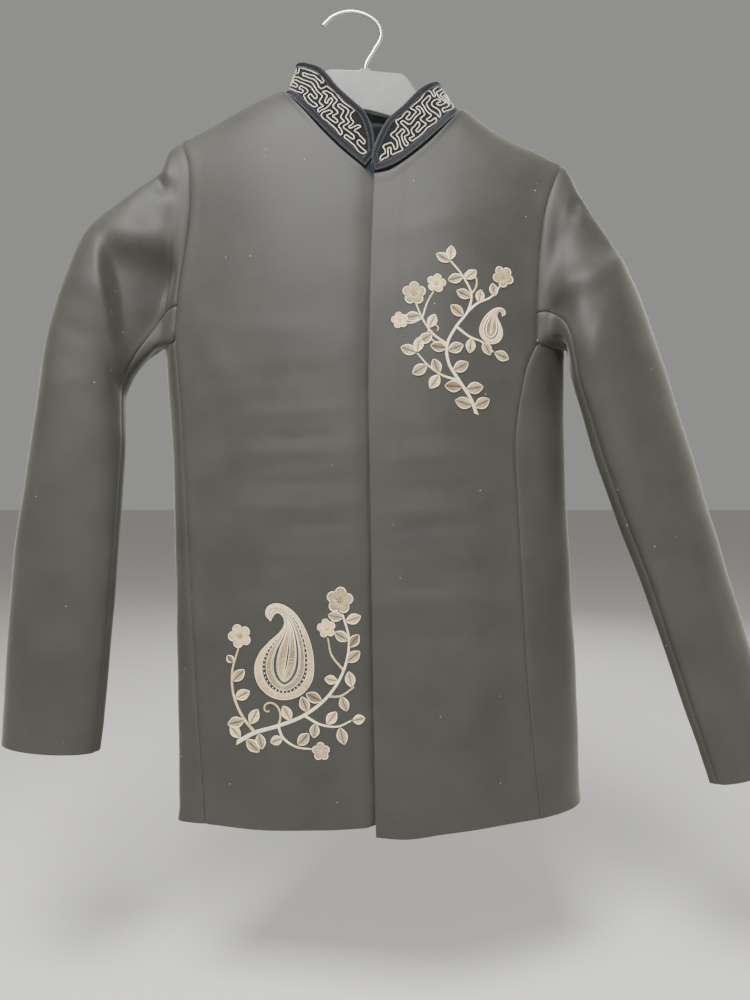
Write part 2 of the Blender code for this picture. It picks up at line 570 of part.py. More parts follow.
def make_body():
    """Fronts, back and sides, then the sleeves that start from their armholes."""
    fronts = {"right": raised(front_grid("right"), right_front_depth),
              "left": raised(front_grid("left"), lambda x, drop: panel_depth(FRONT_LEVELS, x, drop))}
    back = raised(back_grid(), lambda x, drop: panel_depth(BACK_LEVELS, x, drop))
    moved = {name: grid.copy() for name, grid in fronts.items()}
    moved_back = back.copy()
    slope = FRONT_COLUMNS - NECK_COLUMNS
    pieces = []
    for side, last, step in (("right", 0, 1), ("left", -1, -1)):
        front = fronts[side]
        corner = UNDERARM_ROW
        panel = side_grid(side, front[corner:, -1], back[corner:, last])
        loop = np.concatenate([front[:corner, -1], panel[0], back[corner - 1:0:-1, last]])
        sleeve = sleeve_grid(side, loop)
        moved_panel, moved_sleeve = panel.copy(), sleeve.copy()

        # Side seams, the front one and the one behind
        moves = part_edges(front[corner:, -1], front[corner:, -2], panel[:, 0], panel[:, 1])
        spread(moved[side][corner:, -1], moves, 0)
        spread(moved_panel[:, 0], moves, 1)
        moves = part_edges(back[corner:, last], back[corner:, last + step], panel[:, -1], panel[:, -2])
        spread(moved_back[corner:, last], moves, 0)
        spread(moved_panel[:, -1], moves, 1)

        # Armhole: the sleeve takes the whole gap, so that the body's edge stays as drawn
        body_in = np.concatenate([front[:corner, -2], panel[1], back[corner - 1:0:-1, last + step]])
        moves = part_edges(loop, body_in, sleeve[0], sleeve[1], both=False, spare=ARMHOLE_SPARE)
        for ring, share in enumerate(ARMHOLE_SHARES):
            spread(moved_sleeve[ring], [(0, move[1] * share) for move in moves], 1)

        # Shoulder seam
        moved[side][0, -slope - 1:, 1] -= SHOULDER_PULL
        pieces.append((side, moved_panel, moved_sleeve))
    moved_back[0, :slope + 1, 1] += SHOULDER_PULL
    moved_back[0, -slope - 1:, 1] += SHOULDER_PULL
    return moved, moved_back, pieces


def sleeve_halves(grid):
    """The upper piece over the arm and the under piece, parted at both seams."""
    count = grid.shape[1]
    over = [k % count for k in range(BACK_SEAM_VERTEX, count + FRONT_SEAM_VERTEX + 1)]
    under = list(range(FRONT_SEAM_VERTEX, BACK_SEAM_VERTEX + 1))
    upper, lower = grid[:, over].copy(), grid[:, under].copy()
    for piece_a, edge_a, step_a, piece_b, edge_b, step_b in (
            (upper, -1, -2, lower, 0, 1), (upper, 0, 1, lower, -1, -2)):
        moves = part_edges(piece_a[:, edge_a], piece_a[:, step_a], piece_b[:, edge_b], piece_b[:, step_b],
                           spare=SLEEVE_SPARE)
        spread(piece_a[:, edge_a], moves, 0)
        spread(piece_b[:, edge_b], moves, 1)
    return upper, lower


def make_collar(materials, collection):
    """The band, and the binding that lies on it along both edges and round the ends."""
    collar = Collar()
    band = []
    for k in range(COLLAR_COLUMNS + 1):
        s = collar.length * k / COLLAR_COLUMNS
        height = collar.height(s)
        edge = min(BINDING_WIDTH, BINDING_MOST * height)
        levels = (0.0, edge, height / 2, height - edge, height)
        band.append([collar.point(s, h) for h in levels])
    band = np.array(band)
    cloth("collar", band, COLLAR_WALL, away_from_neck, materials["suiting"], collection)
    over = moved_out(band, (COLLAR_WALL + BINDING_WALL) / 2 + BINDING_GAP)
    over[:, 0] += (over[:, 1] - over[:, 0]) * BINDING_EDGE_STEP
    last = COLLAR_COLUMNS
    columns = list(range(last + 1))
    inside = [min(max(k, 1), last - 1) for k in columns]
    loop = [(over[k, 0], over[i, 1]) for k, i in zip(columns, inside)]
    loop += [(over[k, -1], over[i, -2]) for k, i in zip(reversed(columns), reversed(inside))]
    cloth("collar_binding", np.array(loop), BINDING_WALL, away_from_neck, materials["satin"], collection,
          closed=True)


def make_hook(materials, collection):
    curve = bpy.data.curves.new("hanger_hook", "CURVE")
    curve.dimensions = "3D"
    curve.bevel_depth = WIRE_RADIUS
    curve.bevel_resolution = 2
    curve.use_fill_caps = True
    line = curve.splines.new("POLY")
    line.points.add(HOOK_STEPS)
    for k in range(HOOK_STEPS + 1):
        x, drop = route(HOOK_ROUTE, k / HOOK_STEPS)
        line.points[k].co = (x, 0.0, -drop, 1.0)
    add_object("hanger_hook", curve, materials["wire"], collection)


def make_hanger(materials, collection):
    """A flat moulded hanger: a plate at the neck, and arms that run under the shoulders."""
    outline = list(zip(HANGER_TOP["x"], HANGER_TOP["drop"]))
    for side in ("left", "right"):
        rows = SHOULDER[side]
        reach = rows["x"][-1] - math.copysign(ARM_END_SHORT, rows["x"][-1])
        arm = [rows["x"][0] + (reach - rows["x"][0]) * k / ARM_STEPS for k in range(2, ARM_STEPS + 1)]
        upper = [(x, shoulder_drop(x) + ARM_CLEARANCE) for x in arm]
        lower = [(x, shoulder_drop(x) + ARM_CLEARANCE + ARM_HEIGHT) for x in reversed(arm)]
        x_end, drop_end = upper[-1]
        nose = (x_end + math.copysign(ARM_NOSE, x_end), drop_end + ARM_HEIGHT / 2)
        round_arm = upper + [nose] + lower
        if side == "left":
            outline += round_arm + list(zip(HANGER_FOOT["x"], HANGER_FOOT["drop"]))
        else:
            outline += round_arm[::-1]
    curve = bpy.data.curves.new("hanger", "CURVE")
    curve.dimensions = "2D"
    curve.fill_mode = "BOTH"
    curve.extrude = HANGER_HALF_DEPTH - HANGER_EDGE
    curve.bevel_depth = HANGER_EDGE
    curve.bevel_resolution = 1
    curve.offset = -HANGER_EDGE
    line = curve.splines.new("POLY")
    line.points.add(len(outline) - 1)
    for k, (x, drop) in enumerate(outline):
        line.points[k].co = (x, -drop, 0.0, 1.0)
    line.use_cyclic_u = True
    item = add_object("hanger", curve, materials["plastic"], collection)
    item.rotation_euler = (math.pi / 2, 0.0, 0.0)


def main():
    for item in list(bpy.data.objects):
        bpy.data.objects.remove(item)
    collection = bpy.data.collections.new("Sherwani coat")
    bpy.context.scene.collection.children.link(collection)
    materials = {name: make_material(name) for name in FINISHES}
    suiting = materials["suiting"]
    fronts, back, pieces = make_body()
    for side, grid in fronts.items():
        cloth("front_" + side, grid, WALL, lambda p: (0, -1, 0), suiting, collection)
    cloth("back", back, WALL, lambda p: (0, 1, 0), suiting, collection)
    for side, panel, sleeve in pieces:
        way = 1 if side == "left" else -1
        cloth("side_" + side, panel, WALL, lambda p: (way, 0, 0), suiting, collection)
        upper, lower = sleeve_halves(sleeve)
        cloth("sleeve_upper_" + side, upper, WALL, lambda p: (way, -0.5, 0.2), suiting, collection)
        cloth("sleeve_under_" + side, lower, WALL, lambda p: (-way, 0.2, -0.2), suiting, collection)
    make_collar(materials, collection)
    make_hanger(materials, collection)
    make_hook(materials, collection)


main()
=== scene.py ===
import math
import random

import bpy
import numpy as np
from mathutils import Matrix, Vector
from mathutils.bvhtree import BVHTree


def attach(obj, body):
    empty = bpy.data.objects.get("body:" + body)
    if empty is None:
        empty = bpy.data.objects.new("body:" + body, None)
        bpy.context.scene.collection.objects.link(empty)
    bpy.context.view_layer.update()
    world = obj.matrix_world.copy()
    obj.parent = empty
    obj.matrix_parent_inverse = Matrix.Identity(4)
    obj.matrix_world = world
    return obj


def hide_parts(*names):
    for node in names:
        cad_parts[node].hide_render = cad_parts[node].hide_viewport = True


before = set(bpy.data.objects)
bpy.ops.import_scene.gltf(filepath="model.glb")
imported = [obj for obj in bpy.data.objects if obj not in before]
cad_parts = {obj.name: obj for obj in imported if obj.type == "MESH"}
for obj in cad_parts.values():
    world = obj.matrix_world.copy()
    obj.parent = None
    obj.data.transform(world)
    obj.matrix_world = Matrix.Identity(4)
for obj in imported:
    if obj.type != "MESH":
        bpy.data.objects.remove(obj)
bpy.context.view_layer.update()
fine = 3  # the panels are worked out this many times finer than in the solids


def table(columns, *rows):
    # rows with named columns, as one dictionary of lists
    return {name: [row[i] for row in rows] for i, name in enumerate(columns.split())}


def rowsOf(named):
    # the rows of a table, one after another
    return list(zip(*named.values()))


def placed(name, data):
    # a new object with this data, in the scene
    made = bpy.data.objects.new(name, data)
    bpy.context.scene.collection.objects.link(made)
    return made


print("coat: the cut")
cut = {
    "wall": 0.002,  # suiting with its fused backing and lining
    "rows": 20 * fine,
    "underarmRow": 11 * fine,
    "crowding": 1.9,  # rows lie closer near the shoulder
    "frontColumns": 12 * fine,
    "neckColumns": 6 * fine,
    "backColumns": 18 * fine,
    "backNeckColumns": 8 * fine,
    "sideColumns": 5 * fine,
    "underlap": 0.022,  # how far the right front runs on behind the left one
    "underlapSink": 0.0055,
    "underlapTurn": 0.011,
    "underlapLead": 0.8,
    "neckArch": 0.0225,
    "shoulderRoll": 0.045,
    "underarmDip": 0.005,
    "sideFullness": 0.45,
}
# Body from the front: depth (y) across each level, from the right seam to the left one
frontLevels = table(
    "drop   seamR  ySeamR yMidR centre yCentre yMidL seamL ySeamL",
    (0.110, -0.1410, -0.0150, -0.027, 0.015, -0.031, -0.027, 0.1640, -0.0150),
    (0.150, -0.1298, -0.0190, -0.034, 0.015, -0.036, -0.034, 0.1585, -0.0180),
    (0.200, -0.1315, -0.0215, -0.039, 0.014, -0.042, -0.041, 0.1490, -0.0205),
    (0.275, -0.1412, -0.0230, -0.044, 0.013, -0.050, -0.047, 0.1455, -0.0230),
    (0.360, -0.1335, -0.0270, -0.047, 0.013, -0.055, -0.050, 0.1272, -0.0300),
    (0.460, -0.1268, -0.0335, -0.049, 0.014, -0.058, -0.054, 0.1313, -0.0340),
    (0.560, -0.1198, -0.0375, -0.050, 0.016, -0.061, -0.057, 0.1372, -0.0340),
    (0.656, -0.1125, -0.0410, -0.051, 0.018, -0.064, -0.058, 0.1461, -0.0320),
)
# The same levels from behind
backLevels = table(
    "drop   seamR  ySeamR yMidR centre yCentre yMidL seamL ySeamL",
    (0.110, -0.1410, 0.0120, 0.018, 0.015, 0.021, 0.018, 0.1640, 0.0120),
    (0.150, -0.1250, 0.0130, 0.022, 0.015, 0.025, 0.023, 0.1560, 0.0145),
    (0.200, -0.1220, 0.0130, 0.024, 0.015, 0.028, 0.026, 0.1490, 0.0170),
    (0.275, -0.1280, 0.0120, 0.025, 0.015, 0.030, 0.028, 0.1560, 0.0190),
    (0.360, -0.1220, 0.0100, 0.024, 0.016, 0.031, 0.030, 0.1560, 0.0220),
    (0.460, -0.1200, 0.0040, 0.021, 0.018, 0.031, 0.032, 0.1600, 0.0250),
    (0.560, -0.1200, -0.0040, 0.016, 0.020, 0.029, 0.033, 0.1650, 0.0270),
    (0.656, -0.1200, -0.0120, 0.010, 0.022, 0.027, 0.034, 0.1680, 0.0280),
)
# How far the body reaches at each side, and the depth of that line
sideLevels = table(
    "drop  xRight yRight xLeft yLeft",
    (0.270, -0.1525, -0.0060, 0.1715, -0.0010),
    (0.310, -0.1500, -0.0080, 0.1725, 0.0005),
    (0.360, -0.1455, -0.0120, 0.1734, 0.0030),
    (0.430, -0.1422, -0.0180, 0.1768, 0.0055),
    (0.500, -0.1393, -0.0240, 0.1816, 0.0080),
    (0.580, -0.1368, -0.0290, 0.1859, 0.0110),
    (0.656, -0.1350, -0.0330, 0.1882, 0.0130),
)
shoulder = {
    "right": table("x drop", (-0.0600, 0.0660), (-0.0750, 0.0730), (-0.0948, 0.0837),
                   (-0.1146, 0.0952), (-0.1344, 0.1051), (-0.1410, 0.1084)),
    "left": table("x drop", (0.0900, 0.0815), (0.1060, 0.0936), (0.1277, 0.1072),
                  (0.1455, 0.1151), (0.1632, 0.1241), (0.1698, 0.1270)),
}
neckline = {
    "right": table("x drop", (0.0100, 0.1426), (-0.0085, 0.1267), (-0.0335, 0.0993), (-0.0600, 0.0660)),
    "left": table("x drop", (0.0165, 0.1461), (0.0270, 0.1450), (0.0420, 0.1345), (0.0708, 0.1077),
                  (0.0900, 0.0815)),
    "back": table("x drop", (-0.0600, 0.0660), (-0.0400, 0.0750), (0.0150, 0.0805), (0.0720, 0.0850),
                  (0.0900, 0.0815)),
}
frontArmhole = {
    "right": table("x drop", (-0.1410, 0.1084), (-0.1325, 0.1300), (-0.1296, 0.1580), (-0.1328, 0.1980),
                   (-0.1380, 0.2280), (-0.1412, 0.2745)),
    "left": table("x drop", (0.1698, 0.1270), (0.1604, 0.1472), (0.1545, 0.1641), (0.1492, 0.1949),
                  (0.1465, 0.2350), (0.1455, 0.2778)),
}
backArmhole = {
    "right": table("x drop", (-0.1410, 0.1084), (-0.1290, 0.1340), (-0.1230, 0.1700), (-0.1225, 0.2150),
                   (-0.1280, 0.2680)),
    "left": table("x drop", (0.1698, 0.1270), (0.1580, 0.1500), (0.1500, 0.1850), (0.1490, 0.2250),
                  (0.1560, 0.2700)),
}
frontSeam = {
    "right": table("x drop", (-0.1412, 0.2745), (-0.1362, 0.3260), (-0.1330, 0.3696), (-0.1275, 0.4486),
                   (-0.1224, 0.5250), (-0.1161, 0.6092), (-0.1129, 0.6502)),
    "left": table("x drop", (0.1455, 0.2778), (0.1391, 0.2903), (0.1322, 0.3168), (0.1275, 0.3500),
                  (0.1291, 0.4088), (0.1322, 0.4789), (0.1369, 0.5568), (0.1421, 0.6109), (0.1458, 0.6503)),
}
backSeam = {
    "right": table("x drop", (-0.1280, 0.2680), (-0.1220, 0.3600), (-0.1200, 0.4600), (-0.1200, 0.6510)),
    "left": table("x drop", (0.1560, 0.2700), (0.1560, 0.3600), (0.1600, 0.4600), (0.1680, 0.6510)),
}
centreEdge = table("drop x", (0.1461, 0.0165), (0.2148, 0.0139), (0.3050, 0.0123), (0.4233, 0.0139),
                    (0.5557, 0.0161), (0.6504, 0.0180))
hem = {
    "right": table("x drop", (0.0400, 0.6415), (0.0094, 0.6441), (-0.0200, 0.6482), (-0.0691, 0.6523),
                   (-0.1129, 0.6502)),
    "left": table("x drop", (0.0180, 0.6504), (0.0407, 0.6520), (0.0677, 0.6497), (0.1013, 0.6491),
                  (0.1458, 0.6503)),
    "back": table("x drop", (-0.1200, 0.6510), (0.0200, 0.6525), (0.1680, 0.6510)),
}
underlapNeck = table("x drop", (0.0380, 0.1570), (0.0100, 0.1440))


def cubic(keys, values, at):
    # a smooth curve through values at rising keys; it runs on straight past both ends
    keys = np.asarray(keys, float)
    values = np.asarray(values, float)
    slopes = np.gradient(values, keys, axis=0) if len(keys) > 2 else np.repeat(
        (values[1:] - values[:-1]) / (keys[1] - keys[0]), 2, axis=0)
    if at <= keys[0]:
        return values[0] + slopes[0] * (at - keys[0])
    if at >= keys[-1]:
        return values[-1] + slopes[-1] * (at - keys[-1])
    i = int(np.searchsorted(keys, at) - 1)
    span = keys[i + 1] - keys[i]
    t = (at - keys[i]) / span
    return ((2 * t**3 - 3 * t**2 + 1) * values[i] + (t**3 - 2 * t**2 + t) * span * slopes[i]
            + (3 * t**2 - 2 * t**3) * values[i + 1] + (t**3 - t**2) * span * slopes[i + 1])


def route(rows, part):
    # the point (x, drop) at a part, 0 to 1, of the way along a table of x and drop
    points = np.column_stack([rows["x"], rows["drop"]])
    lengths = np.concatenate([[0], np.cumsum(np.linalg.norm(np.diff(points, axis=0), axis=1))])
    return cubic(lengths / lengths[-1], points, part)


def smoothStep(value):
    value = np.clip(value, 0.0, 1.0)
    return value * value * (3 - 2 * value)


def shoulderDrop(x):
    # the shoulder line's drop, carried on over the neck in a low arch
    right, left = shoulder["right"], shoulder["left"]
    neckRight, neckLeft = right["x"][0], left["x"][0]
    if x <= neckRight:
        return float(cubic([-v for v in right["x"]], right["drop"], -x))
    if x >= neckLeft:
        return float(cubic(left["x"], left["drop"], x))
    part = (x - neckRight) / (neckLeft - neckRight)
    arch = 4 * cut["neckArch"] * part * (1 - part)
    return right["drop"][0] + (left["drop"][0] - right["drop"][0]) * part - arch


def level(rows, name, drop):
    return float(cubic(rows["drop"], rows[name], drop))


def panelDepth(rows, x, drop):
    # the depth y of the front or back at a place, rounding in at the shoulder
    seamR, centre, seamL = (level(rows, name, drop) for name in ("seamR", "centre", "seamL"))
    across = [seamR, (seamR + centre) / 2, centre, (centre + seamL) / 2, seamL]
    depths = [level(rows, name, drop) for name in ("ySeamR", "yMidR", "yCentre", "yMidL", "ySeamL")]
    y = float(cubic(across, depths, x))
    below = min(max((drop - shoulderDrop(x)) / cut["shoulderRoll"], 0.0), 1.0)
    return y * math.sqrt(1 - (1 - below) ** 2)


def rowPart(row):
    return (row / cut["rows"]) ** cut["crowding"]


def outerEdge(armhole, seam, row):
    # shoulder tip, armhole, underarm corner and side seam, at one of the panel's rows
    corner = rowPart(cut["underarmRow"])
    if row <= cut["underarmRow"]:
        return route(armhole, rowPart(row) / corner)
    return route(seam, (rowPart(row) - corner) / (1 - corner))


def patch(top, foot, inner, outer):
    # fill between four edges in the (x, drop) plane; the edges are lists of points
    rows, columns = len(inner), len(top)
    grid = np.zeros((rows, columns, 2))
    for j in range(rows):
        v = rowPart(j)
        for i in range(columns):
            u = i / (columns - 1)
            corners = ((1 - u) * (1 - v) * top[0] + u * (1 - v) * top[-1]
                       + (1 - u) * v * foot[0] + u * v * foot[-1])
            grid[j, i] = (1 - v) * top[i] + v * foot[i] + (1 - u) * inner[j] + u * outer[j] - corners
    return grid


def raised(grid, depth):
    # turn (x, drop) points into points in space
    return np.array([[(x, depth(x, drop), -drop) for x, drop in row] for row in grid])


def frontGrid(side):
    neck = [route(neckline[side], k / cut["neckColumns"]) for k in range(cut["neckColumns"] + 1)]
    slopeColumns = cut["frontColumns"] - cut["neckColumns"]
    slope = [route(shoulder[side], k / slopeColumns) for k in range(1, slopeColumns + 1)]
    rows = range(cut["rows"] + 1)
    outer = [outerEdge(frontArmhole[side], frontSeam[side], j) for j in rows]
    extra = 0.0
    if side == "right":
        neck = [route(underlapNeck, k / (2 * fine)) for k in range(2 * fine)] + neck
        extra = cut["underlap"]
    top = neck + slope
    inner = []
    for j in rows:
        drop = top[0][1] + (hem[side]["drop"][0] - top[0][1]) * rowPart(j)
        inner.append(np.array([level(centreEdge, "x", drop) + extra, drop]))
    inner[0] = np.array(top[0])
    foot = [route(hem[side], i / (len(top) - 1)) for i in range(len(top))]
    foot[0] = inner[-1]
    return patch(top, foot, inner, outer)


def rightFrontDepth(x, drop):
    # the right front falls back where it goes under the left one
    edge = level(centreEdge, "x", drop)
    sink = cut["underlapSink"] * smoothStep((x - edge) / cut["underlapTurn"] + cut["underlapLead"])
    return panelDepth(frontLevels, x, drop) + sink


def backGrid():
    slopeColumns = (cut["backColumns"] - cut["backNeckColumns"]) // 2
    right = [route(shoulder["right"], k / slopeColumns) for k in range(slopeColumns, 0, -1)]
    neck = [route(neckline["back"], k / cut["backNeckColumns"]) for k in range(cut["backNeckColumns"] + 1)]
    left = [route(shoulder["left"], k / slopeColumns) for k in range(1, slopeColumns + 1)]
    rows = range(cut["rows"] + 1)
    inner = [outerEdge(backArmhole["right"], backSeam["right"], j) for j in rows]
    outer = [outerEdge(backArmhole["left"], backSeam["left"], j) for j in rows]
    foot = [route(hem["back"], i / cut["backColumns"]) for i in range(cut["backColumns"] + 1)]
    return patch(right + neck + left, foot, inner, outer)


def sideGrid(side, frontEdge, backEdge):
    # the side panel rounds from the front seam, out to the side and in to the back seam
    grid = np.zeros((len(frontEdge), cut["sideColumns"] + 1, 3))
    for j, (start, end) in enumerate(zip(frontEdge, backEdge)):
        for i in range(cut["sideColumns"] + 1):
            u = i / cut["sideColumns"]
            drop = -(start[2] + (end[2] - start[2]) * u)
            xSide = level(sideLevels, "x" + side.capitalize(), drop)
            ySide = level(sideLevels, "y" + side.capitalize(), drop)
            near, t = (start, u * 2) if u <= 0.5 else (end, (1 - u) * 2)
            bend = near[1] + (ySide - near[1]) * cut["sideFullness"]
            x = (1 - t) ** 2 * near[0] + 2 * t * (1 - t) * xSide + t * t * xSide
            y = (1 - t) ** 2 * near[1] + 2 * t * (1 - t) * bend + t * t * ySide
            if j == 0:
                drop += cut["underarmDip"] * math.sin(math.pi * u)
            grid[j, i] = (x, y, -drop)
    return grid


def bodyGrids():
    # fronts, back and sides share their edges exactly, so that each seam closes
    grids = {
        "front_right": raised(frontGrid("right"), rightFrontDepth),
        "front_left": raised(frontGrid("left"), lambda x, drop: panelDepth(frontLevels, x, drop)),
        "back": raised(backGrid(), lambda x, drop: panelDepth(backLevels, x, drop)),
    }
    corner = cut["underarmRow"]
    for side, last in (("right", 0), ("left", -1)):
        front, back = grids["front_" + side], grids["back"]
        grids["side_" + side] = sideGrid(side, front[corner:, -1], back[corner:, last])
    return grids


def armholeLoop(grids, side):
    corner = cut["underarmRow"]
    last = 0 if side == "right" else -1
    front, panel, back = grids["front_" + side], grids["side_" + side], grids["back"]
    return np.concatenate([front[:corner, -1], panel[0], back[corner - 1:0:-1, last]])


def resampled(grid, rowsAt, columnsAt):
    # read a grid at any rows and columns, along smooth curves through its points
    def along(values, places):
        last = len(values) - 1
        base = np.clip(np.floor(places).astype(int), 0, last - 1)
        t = (places - base).reshape((-1,) + (1,) * (values.ndim - 1))
        before, start = values[np.maximum(base - 1, 0)], values[base]
        end, after = values[base + 1], values[np.minimum(base + 2, last)]
        return 0.5 * (2 * start + (end - before) * t + (2 * before - 5 * start + 4 * end - after) * t**2
                      + (3 * start - before - 3 * end + after) * t**3)

    rows = along(grid, np.asarray(rowsAt, float))
    return along(rows.swapaxes(0, 1), np.asarray(columnsAt, float)).swapaxes(0, 1)


weave = {
    "step": 0.0025,  # between the points of a panel
    "edgeSteps": (0.0, 0.0002, 0.0005, 0.0009, 0.0014, 0.0022, 0.0034, 0.0050),
    "edgeRound": 0.0011,  # how far in an edge's fold rounds off
    "edgeLeft": 0.10,  # of the wall, at the very edge
    "seamDip": 0.00045, "seamDipWidth": 0.0017,
    "allowanceLift": 0.00022, "allowanceWidth": 0.0095,  # the pressed seam allowance beneath
    "hemLift": 0.00020, "hemDepth": 0.028, "hemEdge": 0.003,  # the turned-up hem
    "evenHold": 0.003, "evenOnset": 0.004, "evenShare": 0.6,  # evening out stays off a piece's edges
    "evenBody": 14, "evenSleeve": 4,
    "creaseOnset": 0.004, "creaseEnds": 0.06, "creaseFacing": 1.6,
    # long slight waves: their number, how far each turns for a metre, and their height
    "waves": 9, "wavesAcross": (-60, 60), "wavesDown": (15, 110), "wavesDeep": 40,
    "waveHeight": 0.00009, "waveOnset": 0.01,
}


def parts(length, extra=()):
    # parts, 0 to 1, along a length: even steps, closer at both ends
    near = [step / length for step in weave["edgeSteps"]]
    count = max(int(length / weave["step"]), 2)
    middle = [k / count for k in range(1, count) if near[-1] < k / count < 1 - near[-1]]
    middle = [at for at in middle if all(abs(at - e) * length > weave["step"] / 3 for e in extra)]
    return np.array(sorted(set(near + [1 - at for at in near] + middle + list(extra))))


def lengthsOf(grid, axis):
    steps = np.linalg.norm(np.diff(grid, axis=axis), axis=2)
    start = np.zeros_like(np.take(steps, [0], axis=axis))
    return np.concatenate([start, np.cumsum(steps, axis=axis)], axis=axis)


def evened(grid, times):
    # take the small steps out of a grid, away from its edges
    down, across = lengthsOf(grid, 0), lengthsOf(grid, 1)
    near = np.minimum.reduce([down, down[-1:] - down, across, across[:, -1:] - across])
    hold = np.clip((near - weave["evenHold"]) / weave["evenOnset"], 0, 1)[1:-1, 1:-1, None]
    for _ in range(times):
        middle = (grid[:-2, 1:-1] + grid[2:, 1:-1] + grid[1:-1, :-2] + grid[1:-1, 2:]) / 4
        grid[1:-1, 1:-1] += (middle - grid[1:-1, 1:-1]) * weave["evenShare"] * hold
    return grid


def gridNormals(grid, outward):
    normals = np.cross(np.gradient(grid, axis=0), np.gradient(grid, axis=1))
    normals /= np.maximum(np.linalg.norm(normals, axis=2, keepdims=True), 1e-12)
    middle = (grid.shape[0] // 2, grid.shape[1] // 2)
    sign = np.sign(normals[middle] @ np.array(outward(grid[middle])))
    return normals * sign, sign


def fromLine(grid, start, end, sag):
    # for each point, the part of the way along a sagging line that it lies at, and how far off the line it is
    x, drop = grid[..., 0], -grid[..., 2]
    (ax, ad), (rx, rd) = start, (end[0] - start[0], end[1] - start[1])
    length = math.hypot(rx, rd)
    part = np.clip(((x - ax) * rx + (drop - ad) * rd) / length**2, 0, 1)
    sag = sag * np.sin(math.pi * part)
    return part, x - ax - rx * part + sag * rd / length, drop - ad - rd * part - sag * rx / length


def creased(grid, normals, creases):
    # soft ridges and troughs, each along a line seen from the front or from behind
    lift = np.zeros(grid.shape[:2])
    ends = weave["creaseEnds"]
    for face, xFrom, dropFrom, xTo, dropTo, sag, width, height in rowsOf(creases):
        part, offX, offDrop = fromLine(grid, (xFrom, dropFrom), (xTo, dropTo), sag)
        swell = np.sin(math.pi * (ends + (1 - 2 * ends) * part))
        facing = np.clip(weave["creaseFacing"] * face * normals[..., 1], 0, 1)
        lift += height * np.exp(-((np.hypot(offX, offDrop) / width) ** 2)) * swell * facing
    return lift


def wornLift(grid, seed):
    # the slight unevenness of cloth that has been worn and hung: a few long waves of unlike lengths
    rng = random.Random(seed)
    lift = np.zeros(grid.shape[:2])
    for _ in range(weave["waves"]):
        across, down = rng.uniform(*weave["wavesAcross"]), rng.uniform(*weave["wavesDown"])
        phase = rng.uniform(0, 2 * math.pi)
        lift += np.sin(grid[..., 0] * across + grid[..., 1] * weave["wavesDeep"] + grid[..., 2] * down + phase)
    return lift * weave["waveHeight"]


def clothPiece(name, grid, settings, creases=None):
    # one cut piece: its edges fold round, its seams sink in, and its hem is turned up
    normals, sign = gridNormals(grid, settings["outward"])
    down, across = lengthsOf(grid, 0), lengthsOf(grid, 1)
    edges = {"top": down, "foot": down[-1:] - down, "start": across, "end": across[:, -1:] - across}
    lift = wornLift(grid, settings["seed"])
    nearest = np.minimum.reduce(list(edges.values()))
    lift *= np.clip(nearest / weave["waveOnset"], 0, 1)
    if creases:
        lift += creased(grid, normals, creases) * np.clip(nearest / weave["creaseOnset"], 0, 1)
    for edge in settings.get("seams", ()):
        away = edges[edge]
        lift -= weave["seamDip"] * np.exp(-(away / weave["seamDipWidth"]) ** 2)
        swell = np.clip(away / weave["allowanceWidth"], 0, 1)
        lift += weave["allowanceLift"] * np.sin(math.pi * swell)
    for edge in settings.get("hems", ()):
        lift += weave["hemLift"] * smoothStep((weave["hemDepth"] - edges[edge]) / weave["hemEdge"])
    grid = grid + normals * lift[..., None]
    print(f"  {name}: {down.max():.3f} m long, {areaOf(grid):.4f} square metres")

    rows, columns = grid.shape[:2]
    index = np.arange(rows * columns).reshape(rows, columns)
    quads = np.stack([index[:-1, :-1], index[1:, :-1], index[1:, 1:], index[:-1, 1:]], axis=-1).reshape(-1, 4)
    if sign < 0:
        quads = quads[:, ::-1]
    mesh = bpy.data.meshes.new(name + "_cloth")
    mesh.from_pydata(grid.reshape(-1, 3).tolist(), [], quads.tolist())
    piece = placed(name + "_cloth", mesh)
    uv = np.stack([across, -down], axis=-1).reshape(-1, 2)
    layer = mesh.uv_layers.new(name="cloth")
    layer.data.foreach_set("uv", uv[quads.ravel()].ravel())
    mesh.shade_smooth()

    inside = np.clip(nearest / weave["edgeRound"], 0, 1)
    share = weave["edgeLeft"] + (1 - weave["edgeLeft"]) * np.sqrt(1 - (1 - inside) ** 2)
    group = piece.vertex_groups.new(name="wall")
    for value in np.unique(share.round(3)):
        group.add(index[share.round(3) == value].ravel().tolist(), float(value), "REPLACE")
    wall = piece.modifiers.new("Wall", "SOLIDIFY")
    wall.thickness = settings["wall"]
    wall.offset = 0.0
    wall.vertex_group = "wall"
    wall.material_offset = 1
    for material in settings["materials"]:
        mesh.materials.append(material)
    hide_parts(name)
    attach(piece, "root")
    return piece


def areaOf(grid):
    # the area of a grid's surface, which is printed for each piece
    down, across = np.diff(grid, axis=0)[:, :-1], np.diff(grid, axis=1)[:-1]
    return np.linalg.norm(np.cross(down, across), axis=2).sum()


